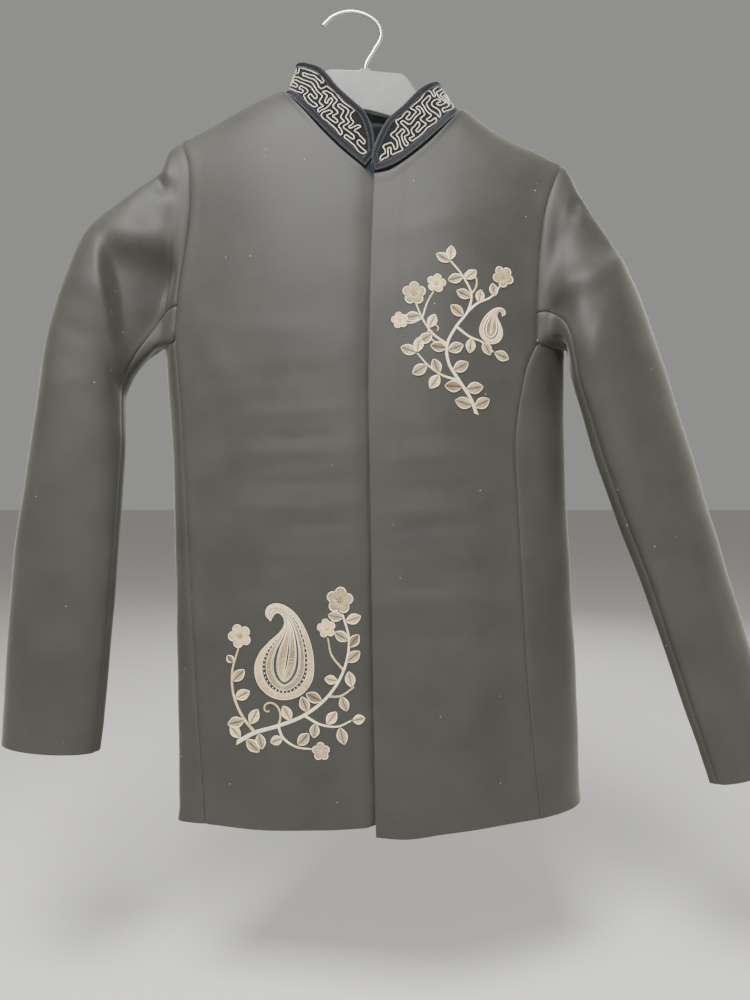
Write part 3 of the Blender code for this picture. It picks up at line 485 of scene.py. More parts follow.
# Soft creases of the body: the slack across both fronts, and the pulls that the hanger gives the back.
# A face of -1 shows from the front and 1 from behind; a minus height is a trough.
bodyCreases = table(
    "face xFrom dropFrom xTo dropTo sag width height",
    (-1, -0.118, 0.262, -0.020, 0.270, 0.004, 0.0090, 0.00055),
    (-1, -0.112, 0.312, 0.004, 0.306, -0.003, 0.0080, -0.00060),
    (-1, -0.104, 0.334, 0.006, 0.331, 0.002, 0.0060, 0.00070),
    (-1, -0.096, 0.352, 0.008, 0.349, 0.003, 0.0052, -0.00062),
    (-1, -0.108, 0.369, 0.002, 0.366, -0.002, 0.0056, 0.00058),
    (-1, -0.084, 0.388, 0.010, 0.384, 0.002, 0.0050, -0.00070),
    (-1, -0.098, 0.404, 0.008, 0.403, 0.003, 0.0060, 0.00074),
    (-1, -0.070, 0.424, 0.010, 0.419, -0.002, 0.0048, -0.00052),
    (-1, -0.090, 0.441, 0.004, 0.440, 0.002, 0.0056, 0.00050),
    (-1, -0.104, 0.470, -0.006, 0.462, 0.003, 0.0066, -0.00046),
    (-1, -0.100, 0.600, -0.004, 0.604, -0.004, 0.0100, 0.00060),
    (-1, 0.022, 0.196, 0.092, 0.176, 0.004, 0.0090, 0.00050),
    (-1, 0.020, 0.352, 0.118, 0.346, 0.003, 0.0072, -0.00058),
    (-1, 0.020, 0.372, 0.104, 0.369, -0.002, 0.0056, 0.00062),
    (-1, 0.022, 0.392, 0.116, 0.386, 0.003, 0.0058, -0.00070),
    (-1, 0.020, 0.409, 0.096, 0.408, 0.002, 0.0052, 0.00078),
    (-1, 0.022, 0.427, 0.110, 0.421, -0.003, 0.0056, -0.00066),
    (-1, 0.020, 0.446, 0.120, 0.440, 0.002, 0.0060, 0.00070),
    (-1, 0.022, 0.464, 0.094, 0.463, 0.003, 0.0050, -0.00056),
    (-1, 0.020, 0.481, 0.112, 0.476, -0.002, 0.0062, 0.00060),
    (-1, 0.024, 0.503, 0.124, 0.497, 0.004, 0.0070, -0.00050),
    (-1, 0.022, 0.540, 0.116, 0.548, -0.004, 0.0090, 0.00048),
    (-1, 0.030, 0.590, 0.128, 0.584, 0.004, 0.0100, -0.00050),
    (-1, -0.128, 0.250, -0.076, 0.330, 0.006, 0.0120, 0.00100),
    (-1, 0.142, 0.262, 0.092, 0.322, -0.006, 0.0120, 0.00090),
    (1, -0.110, 0.160, -0.030, 0.136, 0.005, 0.0100, 0.00120),
    (1, 0.060, 0.140, 0.140, 0.176, 0.005, 0.0100, 0.00110),
    (1, -0.118, 0.270, -0.050, 0.220, -0.006, 0.0130, 0.00130),
    (1, 0.146, 0.284, 0.070, 0.232, 0.006, 0.0130, -0.00120),
    (1, -0.090, 0.372, 0.030, 0.362, 0.004, 0.0080, 0.00090),
    (1, -0.020, 0.392, 0.120, 0.402, -0.004, 0.0076, -0.00090),
    (1, -0.080, 0.421, 0.060, 0.414, 0.005, 0.0086, -0.00080),
    (1, 0.010, 0.447, 0.140, 0.440, 0.004, 0.0080, 0.00090),
    (1, -0.060, 0.540, -0.040, 0.650, 0.006, 0.0160, 0.00180),
    (1, 0.080, 0.520, 0.092, 0.650, -0.006, 0.0180, -0.00180),
)

print("coat: the fronts, sides and back")


def hexColour(code, alpha=1.0):
    # an sRGB hex value as linear colour
    values = [int(code[i:i + 2], 16) / 255 for i in (1, 3, 5)]
    return tuple(v / 12.92 if v <= 0.04045 else ((v + 0.055) / 1.055) ** 2.4 for v in values) + (alpha,)


def addNode(tree, kind, settings=None, links=None):
    # adds a node, with its own settings or input values by name, and links into its inputs
    node = tree.nodes.new(kind)
    for name, value in (settings or {}).items():
        if isinstance(name, str) and hasattr(node, name):
            setattr(node, name, value)
        else:
            node.inputs[name].default_value = value
    for name, source in (links or {}).items():
        tree.links.new(source, node.inputs[name])
    return node


def newMaterial(name, settings):
    # a material with one shader, its uniform values set on the shader's own sockets
    material = bpy.data.materials.new(name)
    material.use_nodes = True
    tree = material.node_tree
    shader = tree.nodes["Principled BSDF"]
    for socket, value in settings.items():
        shader.inputs[socket].default_value = value
    return material, tree, shader


def addMix(tree, first, second, factor):
    # a mix of two colours; the first may be another node's output
    settings, links = {"data_type": "RGBA", 7: hexColour(second)}, {0: factor}
    if isinstance(first, str):
        settings[6] = hexColour(first)
    else:
        links[6] = first
    return addNode(tree, "ShaderNodeMix", settings, links).outputs[2]


def addNoise(tree, settings):
    # noise in the metres of the object's own space
    place = addNode(tree, "ShaderNodeTexCoord")
    return addNode(tree, "ShaderNodeTexNoise", settings, {"Vector": place.outputs["Object"]}).outputs["Fac"]


def addRoughness(tree, shader, low, high, factor):
    spread = addNode(tree, "ShaderNodeMapRange", {"To Min": low, "To Max": high}, {"Value": factor})
    tree.links.new(spread.outputs["Result"], shader.inputs["Roughness"])


def addBump(tree, shader, strength, distance, height, invert=False):
    bump = addNode(tree, "ShaderNodeBump", {"Strength": strength, "Distance": distance, "invert": invert},
                   {"Height": height})
    tree.links.new(bump.outputs["Normal"], shader.inputs["Normal"])


def makeMottled(name, s):
    # two colours in a noise, and a bump or a roughness that follows it, or a finer grain if there is one
    material, tree, shader = newMaterial(name, s["shader"])
    mottle = addNoise(tree, s["mottle"])
    tree.links.new(addMix(tree, s["dark"], s["light"], mottle), shader.inputs["Base Color"])
    if "grain" in s:
        mottle = addNoise(tree, s["grain"])
    if "bump" in s:
        addBump(tree, shader, *s["bump"], mottle)
    if "rough" in s:
        addRoughness(tree, shader, *s["rough"], mottle)
    return material


wavesPerMetre = 0.314  # a wave texture's scale for one wave to a metre

# Pressed polyester suiting, woven in a fine twill: black, matt, with a grey sheen as it turns from the light
suitingCloth = {
    "dark": "#24231e", "light": "#302f29",
    "lint": "#8f8c82", "lintCells": 62.0, "lintReach": 0.030,  # specks, one to a cell
    "mottle": 26.0, "fibre": 900.0,  # per metre: broad unevenness of the pressing, and the fibre's own
    "twillTurn": 62,
    "twillPitch": 0.0011,  # a real twill is 0.4 mm: drawn as coarse as it needs to show
    "twillHeight": 0.00006,
    "shader": {"Roughness": 0.62, "Sheen Weight": 0.42, "Sheen Roughness": 0.38, "Specular IOR Level": 0.55,
               "IOR": 1.50, "Sheen Tint": hexColour("#d9d5c8")},
}


def makeSuiting():
    s = suitingCloth
    material, tree, shader = newMaterial("pressedTwillSuiting", s["shader"])
    broad = addNoise(tree, {"Scale": s["mottle"], "Detail": 3.0, "Roughness": 0.55})
    fibre = addNoise(tree, {"Scale": s["fibre"], "Detail": 2.0})
    both = addNode(tree, "ShaderNodeMath", {"operation": "MULTIPLY_ADD", 1: 0.35}, {0: fibre, 2: broad})
    shade = addNode(tree, "ShaderNodeMapRange", {"From Min": 0.42, "From Max": 0.92}, {"Value": both.outputs[0]})
    base = addMix(tree, s["dark"], s["light"], shade.outputs["Result"])
    place = addNode(tree, "ShaderNodeTexCoord")
    cells = addNode(tree, "ShaderNodeTexVoronoi", {"Scale": s["lintCells"], "Randomness": 1.0},
                    {"Vector": place.outputs["Object"]})
    speck = addNode(tree, "ShaderNodeMath", {"operation": "LESS_THAN", 1: s["lintReach"]},
                    {0: cells.outputs["Distance"]})
    tree.links.new(addMix(tree, base, s["lint"], speck.outputs[0]), shader.inputs["Base Color"])
    addRoughness(tree, shader, 0.58, 0.68, broad)

    laid = addNode(tree, "ShaderNodeUVMap", {"uv_map": "cloth"})
    turned = addNode(tree, "ShaderNodeMapping", {"Rotation": (0.0, 0.0, math.radians(s["twillTurn"]))},
                     {"Vector": laid.outputs["UV"]})
    twill = addNode(tree, "ShaderNodeTexWave",
                    {"Scale": wavesPerMetre / s["twillPitch"], "Distortion": 0.6, "Detail": 1.0, "Detail Scale": 3.0},
                    {"Vector": turned.outputs["Vector"]})
    uneven = addNode(tree, "ShaderNodeMath", {"operation": "MULTIPLY_ADD", 1: 0.5},
                     {0: fibre, 2: twill.outputs["Fac"]})
    addBump(tree, shader, 0.32, s["twillHeight"], uneven.outputs[0])
    return material


# Warp-faced satin: dark navy, with long floats that give a bright band across the light
liningCloth = {
    "dark": "#2d3641", "light": "#434e5a", "mottle": {"Scale": 55.0, "Detail": 4.0}, "bump": (0.3, 0.0008),
    "shader": {"Roughness": 0.34, "Specular IOR Level": 0.6, "Anisotropic": 0.5, "Sheen Weight": 0.15},
}
# Ribbed satin ribbon, almost black: fine cords run across it, and each cord's crown is painted lighter than its groove,
# a painted highlight over the bump
bindingRibbon = {
    "dark": "#050608", "light": "#0e1115", "ribPitch": 0.0012,  # as coarse as it needs to show
    "shader": {"Roughness": 0.52, "Specular IOR Level": 0.20, "Sheen Weight": 0.03},
}


def makeRibbedSatin():
    s = bindingRibbon
    material, tree, shader = newMaterial("ribbedSatinRibbon", s["shader"])
    laid = addNode(tree, "ShaderNodeUVMap", {"uv_map": "cloth"})
    ribs = addNode(tree, "ShaderNodeTexWave", {"bands_direction": "Y", "Scale": wavesPerMetre / s["ribPitch"],
                                               "Distortion": 0.4, "Detail": 1.0}, {"Vector": laid.outputs["UV"]})
    # the lighter colour rides on the rib crests, where the bump rises: painted highlight
    tree.links.new(addMix(tree, s["dark"], s["light"], ribs.outputs["Fac"]), shader.inputs["Base Color"])
    addBump(tree, shader, 0.8, 0.00025, ribs.outputs["Fac"])
    return material


# Cotton velvet under the cord: its upright pile drinks the light, and shows a faint grey bloom at the edges
collarVelvet = {
    "dark": "#0c0c0c", "light": "#1d1d1e", "mottle": {"Scale": 1500.0, "Detail": 2.0}, "bump": (0.6, 0.0002),
    "shader": {"Roughness": 0.85, "Specular IOR Level": 0.12, "Sheen Weight": 0.30, "Sheen Roughness": 0.30},
}

materials = {
    "suiting": makeSuiting(), "lining": makeMottled("navySatinLining", liningCloth),
    "ribbedSatin": makeRibbedSatin(), "velvet": makeMottled("cottonVelvet", collarVelvet),
}
clothMaterials = [materials["suiting"], materials["lining"]]

body = {
    "front_right": {"flat": (0.203, 0.597), "area": 0.0928, "seed": 3, "outward": lambda p: (0, -1, 0),
                    "seams": ("top", "end"), "hems": ("foot", "start"), "length": 0.53, "width": 0.150},
    "front_left": {"flat": (0.163, 0.583), "area": 0.0704, "seed": 5, "outward": lambda p: (0, -1, 0),
                   "seams": ("top", "end"), "hems": ("foot", "start"), "length": 0.53, "width": 0.130},
    "back": {"flat": (0.312, 0.593), "area": 0.1622, "seed": 8, "outward": lambda p: (0, 1, 0),
             "seams": ("top", "start", "end"), "hems": ("foot",), "length": 0.57, "width": 0.290},
    "side_right": {"flat": (0.055, 0.384), "area": 0.0198, "seed": 11, "outward": lambda p: (-1, 0, 0),
                   "seams": ("top", "start", "end"), "hems": ("foot",), "length": 0.38, "width": 0.050},
    "side_left": {"flat": (0.096, 0.381), "area": 0.0333, "seed": 13, "outward": lambda p: (1, 0, 0),
                  "seams": ("top", "start", "end"), "hems": ("foot",), "length": 0.38, "width": 0.070},
}
grids = bodyGrids()
corner = cut["underarmRow"]
pieces = {}
for name, settings in body.items():
    grid = grids[name]
    settings.update(wall=cut["wall"], materials=clothMaterials, slot="suiting")
    first = corner if name.startswith("side") else 0
    whole = rowPart(cut["rows"]) - rowPart(first)
    cornerPart = (rowPart(corner) - rowPart(first)) / whole
    drops = parts(settings["length"], extra=() if first else (cornerPart,))
    rowsAt = cut["rows"] * (rowPart(first) + drops * whole) ** (1 / cut["crowding"]) - first
    columnsAt = parts(settings["width"]) * (grid.shape[1] - 1)
    dense = evened(resampled(grid, rowsAt, columnsAt), weave["evenBody"])
    pieces[name] = clothPiece(name, dense, settings, bodyCreases)


print("coat: the sleeves")
sleeveCut = {
    "rings": 22 * fine,
    "foldEnd": 0.20, "foldFacing": 1.5,
    "foldStart": 0.015,  # the folds grow from the armhole seam over this length
    "hollowDepth": 0.0115,
    "frontSeamVertex": 10 * fine,
    "backSeamVertex": 19 * fine,
    "frontSeamAngles": (132.0, 168.0),  # round the sleeve from its outer edge: at the top, below the elbow
    "frontSeamSettles": 0.45,
    "backSeamAngle": 250.0,
    "squareness": 0.12,
    "innerDepth": 0.24,
}
# Sleeves: outer and inner edge of each section, and how deep it is before and behind that line
sleeveSections = {
    "right": table(
        "xOut   dropOut yOut  xIn    dropIn yIn   front  behind loop",
        (-0.1410, 0.1084, 0.000, -0.1450, 0.2775, -0.006, 0.026, 0.018, 1.00),
        (-0.1505, 0.1160, 0.000, -0.1560, 0.2790, -0.006, 0.027, 0.022, 0.72),
        (-0.1570, 0.1340, -0.002, -0.1655, 0.2870, -0.007, 0.028, 0.026, 0.42),
        (-0.1740, 0.1500, -0.008, -0.1755, 0.2990, -0.010, 0.030, 0.028, 0.18),
        (-0.1960, 0.1690, -0.012, -0.1805, 0.3085, -0.013, 0.031, 0.028, 0.05),
        (-0.2130, 0.1890, -0.016, -0.1830, 0.3167, -0.016, 0.030, 0.025, 0.00),
        (-0.2250, 0.2190, -0.020, -0.1828, 0.3250, -0.019, 0.028, 0.024, 0.00),
        (-0.2386, 0.2663, -0.024, -0.1818, 0.3374, -0.022, 0.026, 0.023, 0.00),
        (-0.2455, 0.3184, -0.028, -0.1805, 0.3584, -0.026, 0.025, 0.022, 0.00),
        (-0.2530, 0.3760, -0.030, -0.1822, 0.4020, -0.029, 0.024, 0.021, 0.00),
        (-0.2610, 0.4260, -0.030, -0.1850, 0.4480, -0.031, 0.022, 0.020, 0.00),
        (-0.2668, 0.4880, -0.030, -0.1888, 0.5040, -0.033, 0.021, 0.019, 0.00),
        (-0.2709, 0.5579, -0.030, -0.1945, 0.5661, -0.034, 0.020, 0.018, 0.00),
        (-0.2725, 0.5908, -0.030, -0.1981, 0.5957, -0.034, 0.020, 0.018, 0.00),
    ),
    "left": table(
        "xOut  dropOut yOut  xIn    dropIn yIn   front  behind loop",
        (0.1698, 0.1270, 0.000, 0.1500, 0.2810, -0.008, 0.024, 0.018, 1.00),
        (0.1765, 0.1345, 0.001, 0.1590, 0.2770, -0.012, 0.025, 0.026, 0.66),
        (0.1830, 0.1500, 0.002, 0.1640, 0.2790, -0.022, 0.026, 0.030, 0.34),
        (0.1935, 0.1680, 0.003, 0.1670, 0.2880, -0.030, 0.028, 0.030, 0.14),
        (0.2075, 0.1900, 0.005, 0.1690, 0.3010, -0.035, 0.030, 0.028, 0.03),
        (0.2195, 0.2110, 0.006, 0.1715, 0.3120, -0.038, 0.031, 0.022, 0.00),
        (0.2340, 0.2430, 0.010, 0.1785, 0.3330, -0.037, 0.032, 0.022, 0.00),
        (0.2500, 0.2880, 0.012, 0.1870, 0.3620, -0.036, 0.031, 0.021, 0.00),
        (0.2680, 0.3430, 0.016, 0.1975, 0.3930, -0.036, 0.029, 0.020, 0.00),
        (0.2840, 0.3950, 0.016, 0.2095, 0.4260, -0.036, 0.027, 0.019, 0.00),
        (0.3020, 0.4510, 0.016, 0.2250, 0.4650, -0.036, 0.025, 0.018, 0.00),
        (0.3210, 0.5090, 0.016, 0.2420, 0.5140, -0.036, 0.023, 0.018, 0.00),
        (0.3454, 0.5828, 0.016, 0.2680, 0.5889, -0.036, 0.021, 0.018, 0.00),
        (0.3564, 0.6141, 0.016, 0.2789, 0.6207, -0.036, 0.020, 0.018, 0.00),
    ),
}
# The largest folds, seen from the front; a minus height is a trough
# The largest folds of a sleeve's front, each along a line: the cloth rises or sinks on both sides of it,
# as far as its widths above and below it
sleeveFolds = {
    "right": table(
        "xFrom dropFrom xTo dropTo sag above below height",
        (-0.2010, 0.1970, -0.1360, 0.2060, -0.004, 0.0150, 0.0050, 0.0056),
        (-0.1960, 0.2000, -0.1860, 0.2600, 0.003, 0.0070, 0.0150, 0.0022),
        (-0.1580, 0.1470, -0.1400, 0.1545, 0.001, 0.0030, 0.0045, -0.0085),
        (-0.1560, 0.1400, -0.1440, 0.1440, 0.000, 0.0060, 0.0035, 0.0030),
        (-0.1580, 0.1600, -0.1420, 0.1620, 0.000, 0.0050, 0.0080, 0.0022),
        (-0.1760, 0.1740, -0.1500, 0.1790, 0.002, 0.0100, 0.0080, -0.0024),
        (-0.1830, 0.2510, -0.1400, 0.2360, 0.001, 0.0025, 0.0090, 0.0040),
        (-0.2200, 0.2150, -0.2300, 0.3600, 0.003, 0.0120, 0.0160, 0.0016),
        (-0.2040, 0.3100, -0.1980, 0.4600, 0.003, 0.0100, 0.0140, -0.0016),
    ),
    "left": table(
        "xFrom dropFrom xTo dropTo sag above below height",
        (0.1490, 0.2400, 0.2180, 0.2120, 0.003, 0.0090, 0.0055, 0.0046),
        (0.1480, 0.2400, 0.1720, 0.2330, 0.001, 0.0070, 0.0045, 0.0050),
        (0.1520, 0.2520, 0.1740, 0.2480, 0.000, 0.0040, 0.0080, -0.0036),
        (0.1710, 0.1650, 0.1830, 0.1690, 0.000, 0.0040, 0.0035, -0.0062),
        (0.1740, 0.1735, 0.1880, 0.1770, 0.000, 0.0030, 0.0060, 0.0026),
        (0.1600, 0.2140, 0.2080, 0.1960, 0.000, 0.0320, 0.0110, -0.0085),
        (0.2050, 0.2020, 0.2180, 0.2200, 0.002, 0.0080, 0.0100, 0.0018),
        (0.1560, 0.2640, 0.1900, 0.2980, -0.002, 0.0120, 0.0100, 0.0016),
        (0.1560, 0.2680, 0.1820, 0.3300, -0.003, 0.0090, 0.0090, -0.0024),
        (0.1860, 0.2950, 0.2700, 0.5900, 0.004, 0.0180, 0.0120, 0.0030),
        (0.2180, 0.3300, 0.2900, 0.5600, 0.003, 0.0120, 0.0140, -0.0016),
    ),
}
# The hollow under the right sleeve's roll, by its corners, and how softly each side falls in, from a corner to the next
sleeveHollow = table(
    "x drop soft",
    (-0.1960, 0.2030, 0.0024), (-0.1340, 0.2110, 0.0060), (-0.1340, 0.2700, 0.0260), (-0.1835, 0.2900, 0.0055),
)


def sleeveAngle(k, at, count):
    # the angle round a section of armhole point k: 0 is the outer edge, 180 the inner
    start, end = sleeveCut["frontSeamAngles"]
    front = start + (end - start) * smoothStep(at / sleeveCut["frontSeamSettles"])
    seams = (0, sleeveCut["frontSeamVertex"], sleeveCut["backSeamVertex"], count)
    return float(np.interp(k, seams, (0, front, sleeveCut["backSeamAngle"], 360)))


def sleeveRing(side, at):
    # a function that gives the section's point at an angle
    rows = sleeveSections[side]
    keys = np.linspace(0, 1, len(rows["xOut"]))
    read = {name: float(cubic(keys, rows[name], at)) for name in rows}
    out = np.array([read["xOut"], read["yOut"], -read["dropOut"]])
    inside = np.array([read["xIn"], read["yIn"], -read["dropIn"]])
    across = (out - inside) / 2
    forward = np.array([0.0, -1.0, 0.0])
    forward -= across * (forward @ across) / (across @ across)
    forward /= np.linalg.norm(forward)
    inner = sleeveCut["innerDepth"]

    def point(angle):
        c, s = math.cos(math.radians(angle)), math.sin(math.radians(angle))
        depth = read["front"] if s >= 0 else read["behind"] * (inner + (1 - inner) * (1 + c) / 2)
        bulge = math.copysign(abs(s) ** (1 - sleeveCut["squareness"]), s)
        return (out + inside) / 2 + across * c + forward * depth * bulge

    return point


def sleeveGrid(side, armhole):
    # rings from the armhole down to the cuff; the fourth value of a point says how squarely it faces front
    count = len(armhole)
    grid = np.zeros((sleeveCut["rings"] + 1, count, 4))
    rows = sleeveSections[side]
    keys = np.linspace(0, 1, len(rows["loop"]))
    top = sleeveRing(side, 0.0)
    shift = [edge - top(sleeveAngle(k, 0.0, count)) for k, edge in enumerate(armhole)]
    for j in range(sleeveCut["rings"] + 1):
        at = j / sleeveCut["rings"]
        hold = min(max(float(cubic(keys, rows["loop"], at)), 0.0), 1.0)
        ring = sleeveRing(side, at)
        for k in range(count):
            angle = sleeveAngle(k, at, count)
            grid[j, k, :3] = ring(angle) + hold * shift[k]
            grid[j, k, 3] = max(math.sin(math.radians(angle)), 0.0)
    return grid


def sleeveFolded(side, dense):
    # the dense grid with the large folds of its front
    grid, facing = dense[..., :3].copy(), np.clip(dense[..., 3] * sleeveCut["foldFacing"], 0, 1)
    x, drop = grid[..., 0], -grid[..., 2]
    lift = np.zeros_like(x)
    for xFrom, dropFrom, xTo, dropTo, sag, above, below, height in rowsOf(sleeveFolds[side]):
        part, offX, offDrop = fromLine(grid, (xFrom, dropFrom), (xTo, dropTo), sag)
        rightward = 1 if xTo > xFrom else -1
        under = (offDrop * (xTo - xFrom) - offX * (dropTo - dropFrom)) * rightward > 0
        ends = sleeveCut["foldEnd"] + (1 - sleeveCut["foldEnd"]) * np.sin(math.pi * part)
        lift += height * np.exp(-((np.hypot(offX, offDrop) / np.where(under, below, above)) ** 2)) * ends
    if side == "right":
        inside = np.ones_like(x)
        corners = rowsOf(sleeveHollow)
        for (ax, ad, soft), (bx, bd, _) in zip(corners, corners[1:] + corners[:1]):
            away = ((x - ax) * -(bd - ad) + (drop - ad) * (bx - ax)) / math.hypot(bx - ax, bd - ad)
            inside *= smoothStep(away / soft / 2 + 0.25)
        lift -= sleeveCut["hollowDepth"] * inside
    grid[..., 1] -= lift * facing * smoothStep(lengthsOf(grid, 0) / sleeveCut["foldStart"])
    return evened(grid, weave["evenSleeve"])


def sleeveHalves(grid):
    # the upper piece over the arm, and the under piece
    count = grid.shape[1]
    front, behind = sleeveCut["frontSeamVertex"], sleeveCut["backSeamVertex"]
    over = [k % count for k in range(behind, count + front + 1)]
    return grid[:, over], grid[:, front:behind + 1]


sleeveCreases = table(
    "face xFrom dropFrom xTo dropTo sag width height",
    (-1, -0.2060, 0.196, -0.1540, 0.184, 0.004, 0.0070, -0.00120),
    (-1, -0.2260, 0.232, -0.1780, 0.250, -0.005, 0.0080, 0.00110),
    (-1, -0.2300, 0.262, -0.1860, 0.276, 0.004, 0.0066, -0.00100),
    (-1, -0.2360, 0.322, -0.1920, 0.306, -0.004, 0.0090, 0.00080),
    (-1, -0.2420, 0.402, -0.1960, 0.388, 0.003, 0.0100, -0.00070),
    (-1, -0.2480, 0.452, -0.2040, 0.470, 0.004, 0.0110, 0.00060),
    (-1, -0.2440, 0.592, -0.2440, 0.470, 0.003, 0.0070, 0.00060),
    (-1, 0.1780, 0.176, 0.1620, 0.216, 0.004, 0.0070, -0.00100),
    (-1, 0.2140, 0.262, 0.1760, 0.242, -0.004, 0.0070, -0.00110),
    (-1, 0.2240, 0.292, 0.1900, 0.276, 0.004, 0.0080, 0.00090),
    (-1, 0.2520, 0.352, 0.2160, 0.366, -0.004, 0.0090, -0.00080),
    (-1, 0.2700, 0.402, 0.2300, 0.424, 0.005, 0.0100, 0.00070),
    (-1, 0.3160, 0.560, 0.2760, 0.440, 0.003, 0.0090, -0.00070),
    (1, -0.1560, 0.196, -0.2160, 0.222, 0.005, 0.0090, 0.00140),
    (1, -0.1760, 0.262, -0.2320, 0.246, -0.005, 0.0090, -0.00130),
    (1, -0.1900, 0.316, -0.2420, 0.330, 0.004, 0.0100, 0.00120),
    (1, -0.1960, 0.352, -0.2440, 0.346, -0.004, 0.0080, -0.00110),
    (1, 0.1720, 0.212, 0.2160, 0.236, 0.005, 0.0090, 0.00130),
    (1, 0.1960, 0.296, 0.2460, 0.282, -0.005, 0.0090, -0.00130),
    (1, 0.2120, 0.352, 0.2660, 0.362, 0.004, 0.0100, 0.00120),
    (1, 0.2360, 0.416, 0.2860, 0.402, -0.004, 0.0090, -0.00110),
)
sleeves = {
    "sleeve_upper_right": {"flat": (0.185, 0.520), "area": 0.0742, "seed": 21, "outward": lambda p: (-1, -0.5, 0.2),
                           "length": 0.44, "width": 0.130},
    "sleeve_under_right": {"flat": (0.060, 0.433), "area": 0.0147, "seed": 23, "outward": lambda p: (1, 0.2, -0.2),
                           "length": 0.36, "width": 0.045},
    "sleeve_upper_left": {"flat": (0.205, 0.525), "area": 0.0872, "seed": 25, "outward": lambda p: (1, -0.5, 0.2),
                          "length": 0.46, "width": 0.140},
    "sleeve_under_left": {"flat": (0.067, 0.450), "area": 0.0176, "seed": 27, "outward": lambda p: (-1, 0.2, -0.2),
                          "length": 0.38, "width": 0.048},
}
for side in ("right", "left"):
    halves = sleeveHalves(sleeveGrid(side, armholeLoop(grids, side)))
    for part, grid in zip(("upper", "under"), halves):
        name = f"sleeve_{part}_{side}"
        settings = sleeves[name]
        settings.update(wall=cut["wall"], materials=clothMaterials, slot="suiting",
                        seams=("top", "start", "end"), hems=("foot",))
        rowsAt = parts(settings["length"]) * sleeveCut["rings"]
        columnsAt = parts(settings["width"]) * (grid.shape[1] - 1)
        dense = sleeveFolded(side, resampled(grid, rowsAt, columnsAt))
        pieces[name] = clothPiece(name, dense, settings, sleeveCreases)


print("coat: the collar")
collarCut = {
    "wall": 0.003, "height": 0.034, "endHeight": 0.005, "endRound": 0.036, "endShape": 1.5,
    "step": 0.0016, "tuck": 0.0028,  # from the neck edge to the band, and how far the band is sewn in below it
    "neckSteps": 14, "napeSteps": 16, "smoothing": 4,
    "bindingWidth": 0.0055, "bindingMost": 0.42, "bindingWall": 0.0008, "bindingCrown": 0.0005,
    "bindingLift": 0.00035, "bindingDrop": 0.0026, "bindingInset": 0.0003, "bindingColumns": 8,
    "middle": 0.015,  # the neck's middle, by its x
    "alongStep": 0.002, "upStep": 0.004,  # over which the band's directions are measured
}
# The collar's top edge before its ends are rounded, by its part of the way round the neck
collarTop = table(
    "turn  x        y       drop",
    (0.00, 0.0306, -0.026, 0.1144),
    (0.10, 0.0060, -0.018, 0.0900),
    (0.18, -0.0135, -0.013, 0.0702),
    (0.25, -0.0300, -0.0085, 0.0510),
    (0.29, -0.0455, 0.007, 0.0395),
    (0.33, -0.0400, 0.020, 0.0440),
    (0.50, 0.0150, 0.029, 0.0480),
    (0.67, 0.0640, 0.021, 0.0540),
    (0.72, 0.0690, 0.007, 0.0552),
    (0.77, 0.0590, -0.0085, 0.0660),
    (0.86, 0.0388, -0.014, 0.0874),
    (0.93, 0.0237, -0.019, 0.1009),
    (1.00, 0.0071, -0.028, 0.1106),
)


def collarBase():
    # the neck edge from the right front end, round the back, to the left one
    points = []
    neck, nape = collarCut["neckSteps"], collarCut["napeSteps"]
    for name, depth, count in (("right", frontLevels, neck), ("back", backLevels, nape), ("left", frontLevels, neck)):
        for k in range(count + 1):
            part = 1 - k / count if name == "left" else k / count
            x, drop = route(neckline[name], part)
            points.append((x, panelDepth(depth, x, drop), -drop))
    points = np.array(points)
    apart = np.linalg.norm(np.diff(points, axis=0), axis=1) > 0.00015
    points = points[np.concatenate([[True], apart])]
    for _ in range(collarCut["smoothing"]):
        points[1:-1] = (points[:-2] + 2 * points[1:-1] + points[2:]) / 4
    return points


neckEdge = collarBase()
neckAt = np.concatenate([[0], np.cumsum(np.linalg.norm(np.diff(neckEdge, axis=0), axis=1))])
neckLength = neckAt[-1]


def bandHeight(s):
    near = min(s, neckLength - s) / collarCut["endRound"]
    if near >= 1:
        return collarCut["height"]
    shape = (1 - (1 - near) ** collarCut["endShape"]) ** (1 / collarCut["endShape"])
    return collarCut["endHeight"] + (collarCut["height"] - collarCut["endHeight"]) * shape


def bandPoint(s, h):
    # a point of the band's middle, s along the neck and h up the band
    here = cubic(neckAt, neckEdge, s)
    top = np.array([cubic(collarTop["turn"], collarTop[name], s / neckLength) for name in ("x", "y", "drop")])
    top[2] = -top[2]
    up = (top - here) / np.linalg.norm(top - here)
    return here + up * collarCut["step"] + (top - here) * (h / collarCut["height"])


def bandFace(s, h, out):
    # the same point, moved out from the neck, square to the band
    here = bandPoint(s, h)
    step, rise = collarCut["alongStep"], collarCut["upStep"]
    along = bandPoint(min(s + step, neckLength), h) - bandPoint(max(s - step, 0), h)
    up = bandPoint(s, h + rise) - bandPoint(s, h - rise)
    normal = np.cross(along, up)
    normal /= np.linalg.norm(normal)
    if normal @ (here - np.array([collarCut["middle"], 0.0, here[2]])) < 0:
        normal = -normal
    return here + normal * out, normal


def awayFromNeck(point):
    return (point[0] - collarCut["middle"], point[1], 0)


bandParts = parts(neckLength) * neckLength
rowParts = parts(collarCut["height"])
band = np.array([[bandPoint(s, bandHeight(s) * part - collarCut["tuck"] * (1 - part)) for part in rowParts]
                 for s in bandParts])
pieces["collar"] = clothPiece("collar", band, {
    "flat": (0.390, 0.045), "area": 0.0129, "seed": 31, "outward": awayFromNeck, "wall": collarCut["wall"],
    "materials": [materials["velvet"], materials["lining"]], "slot": "suiting"})


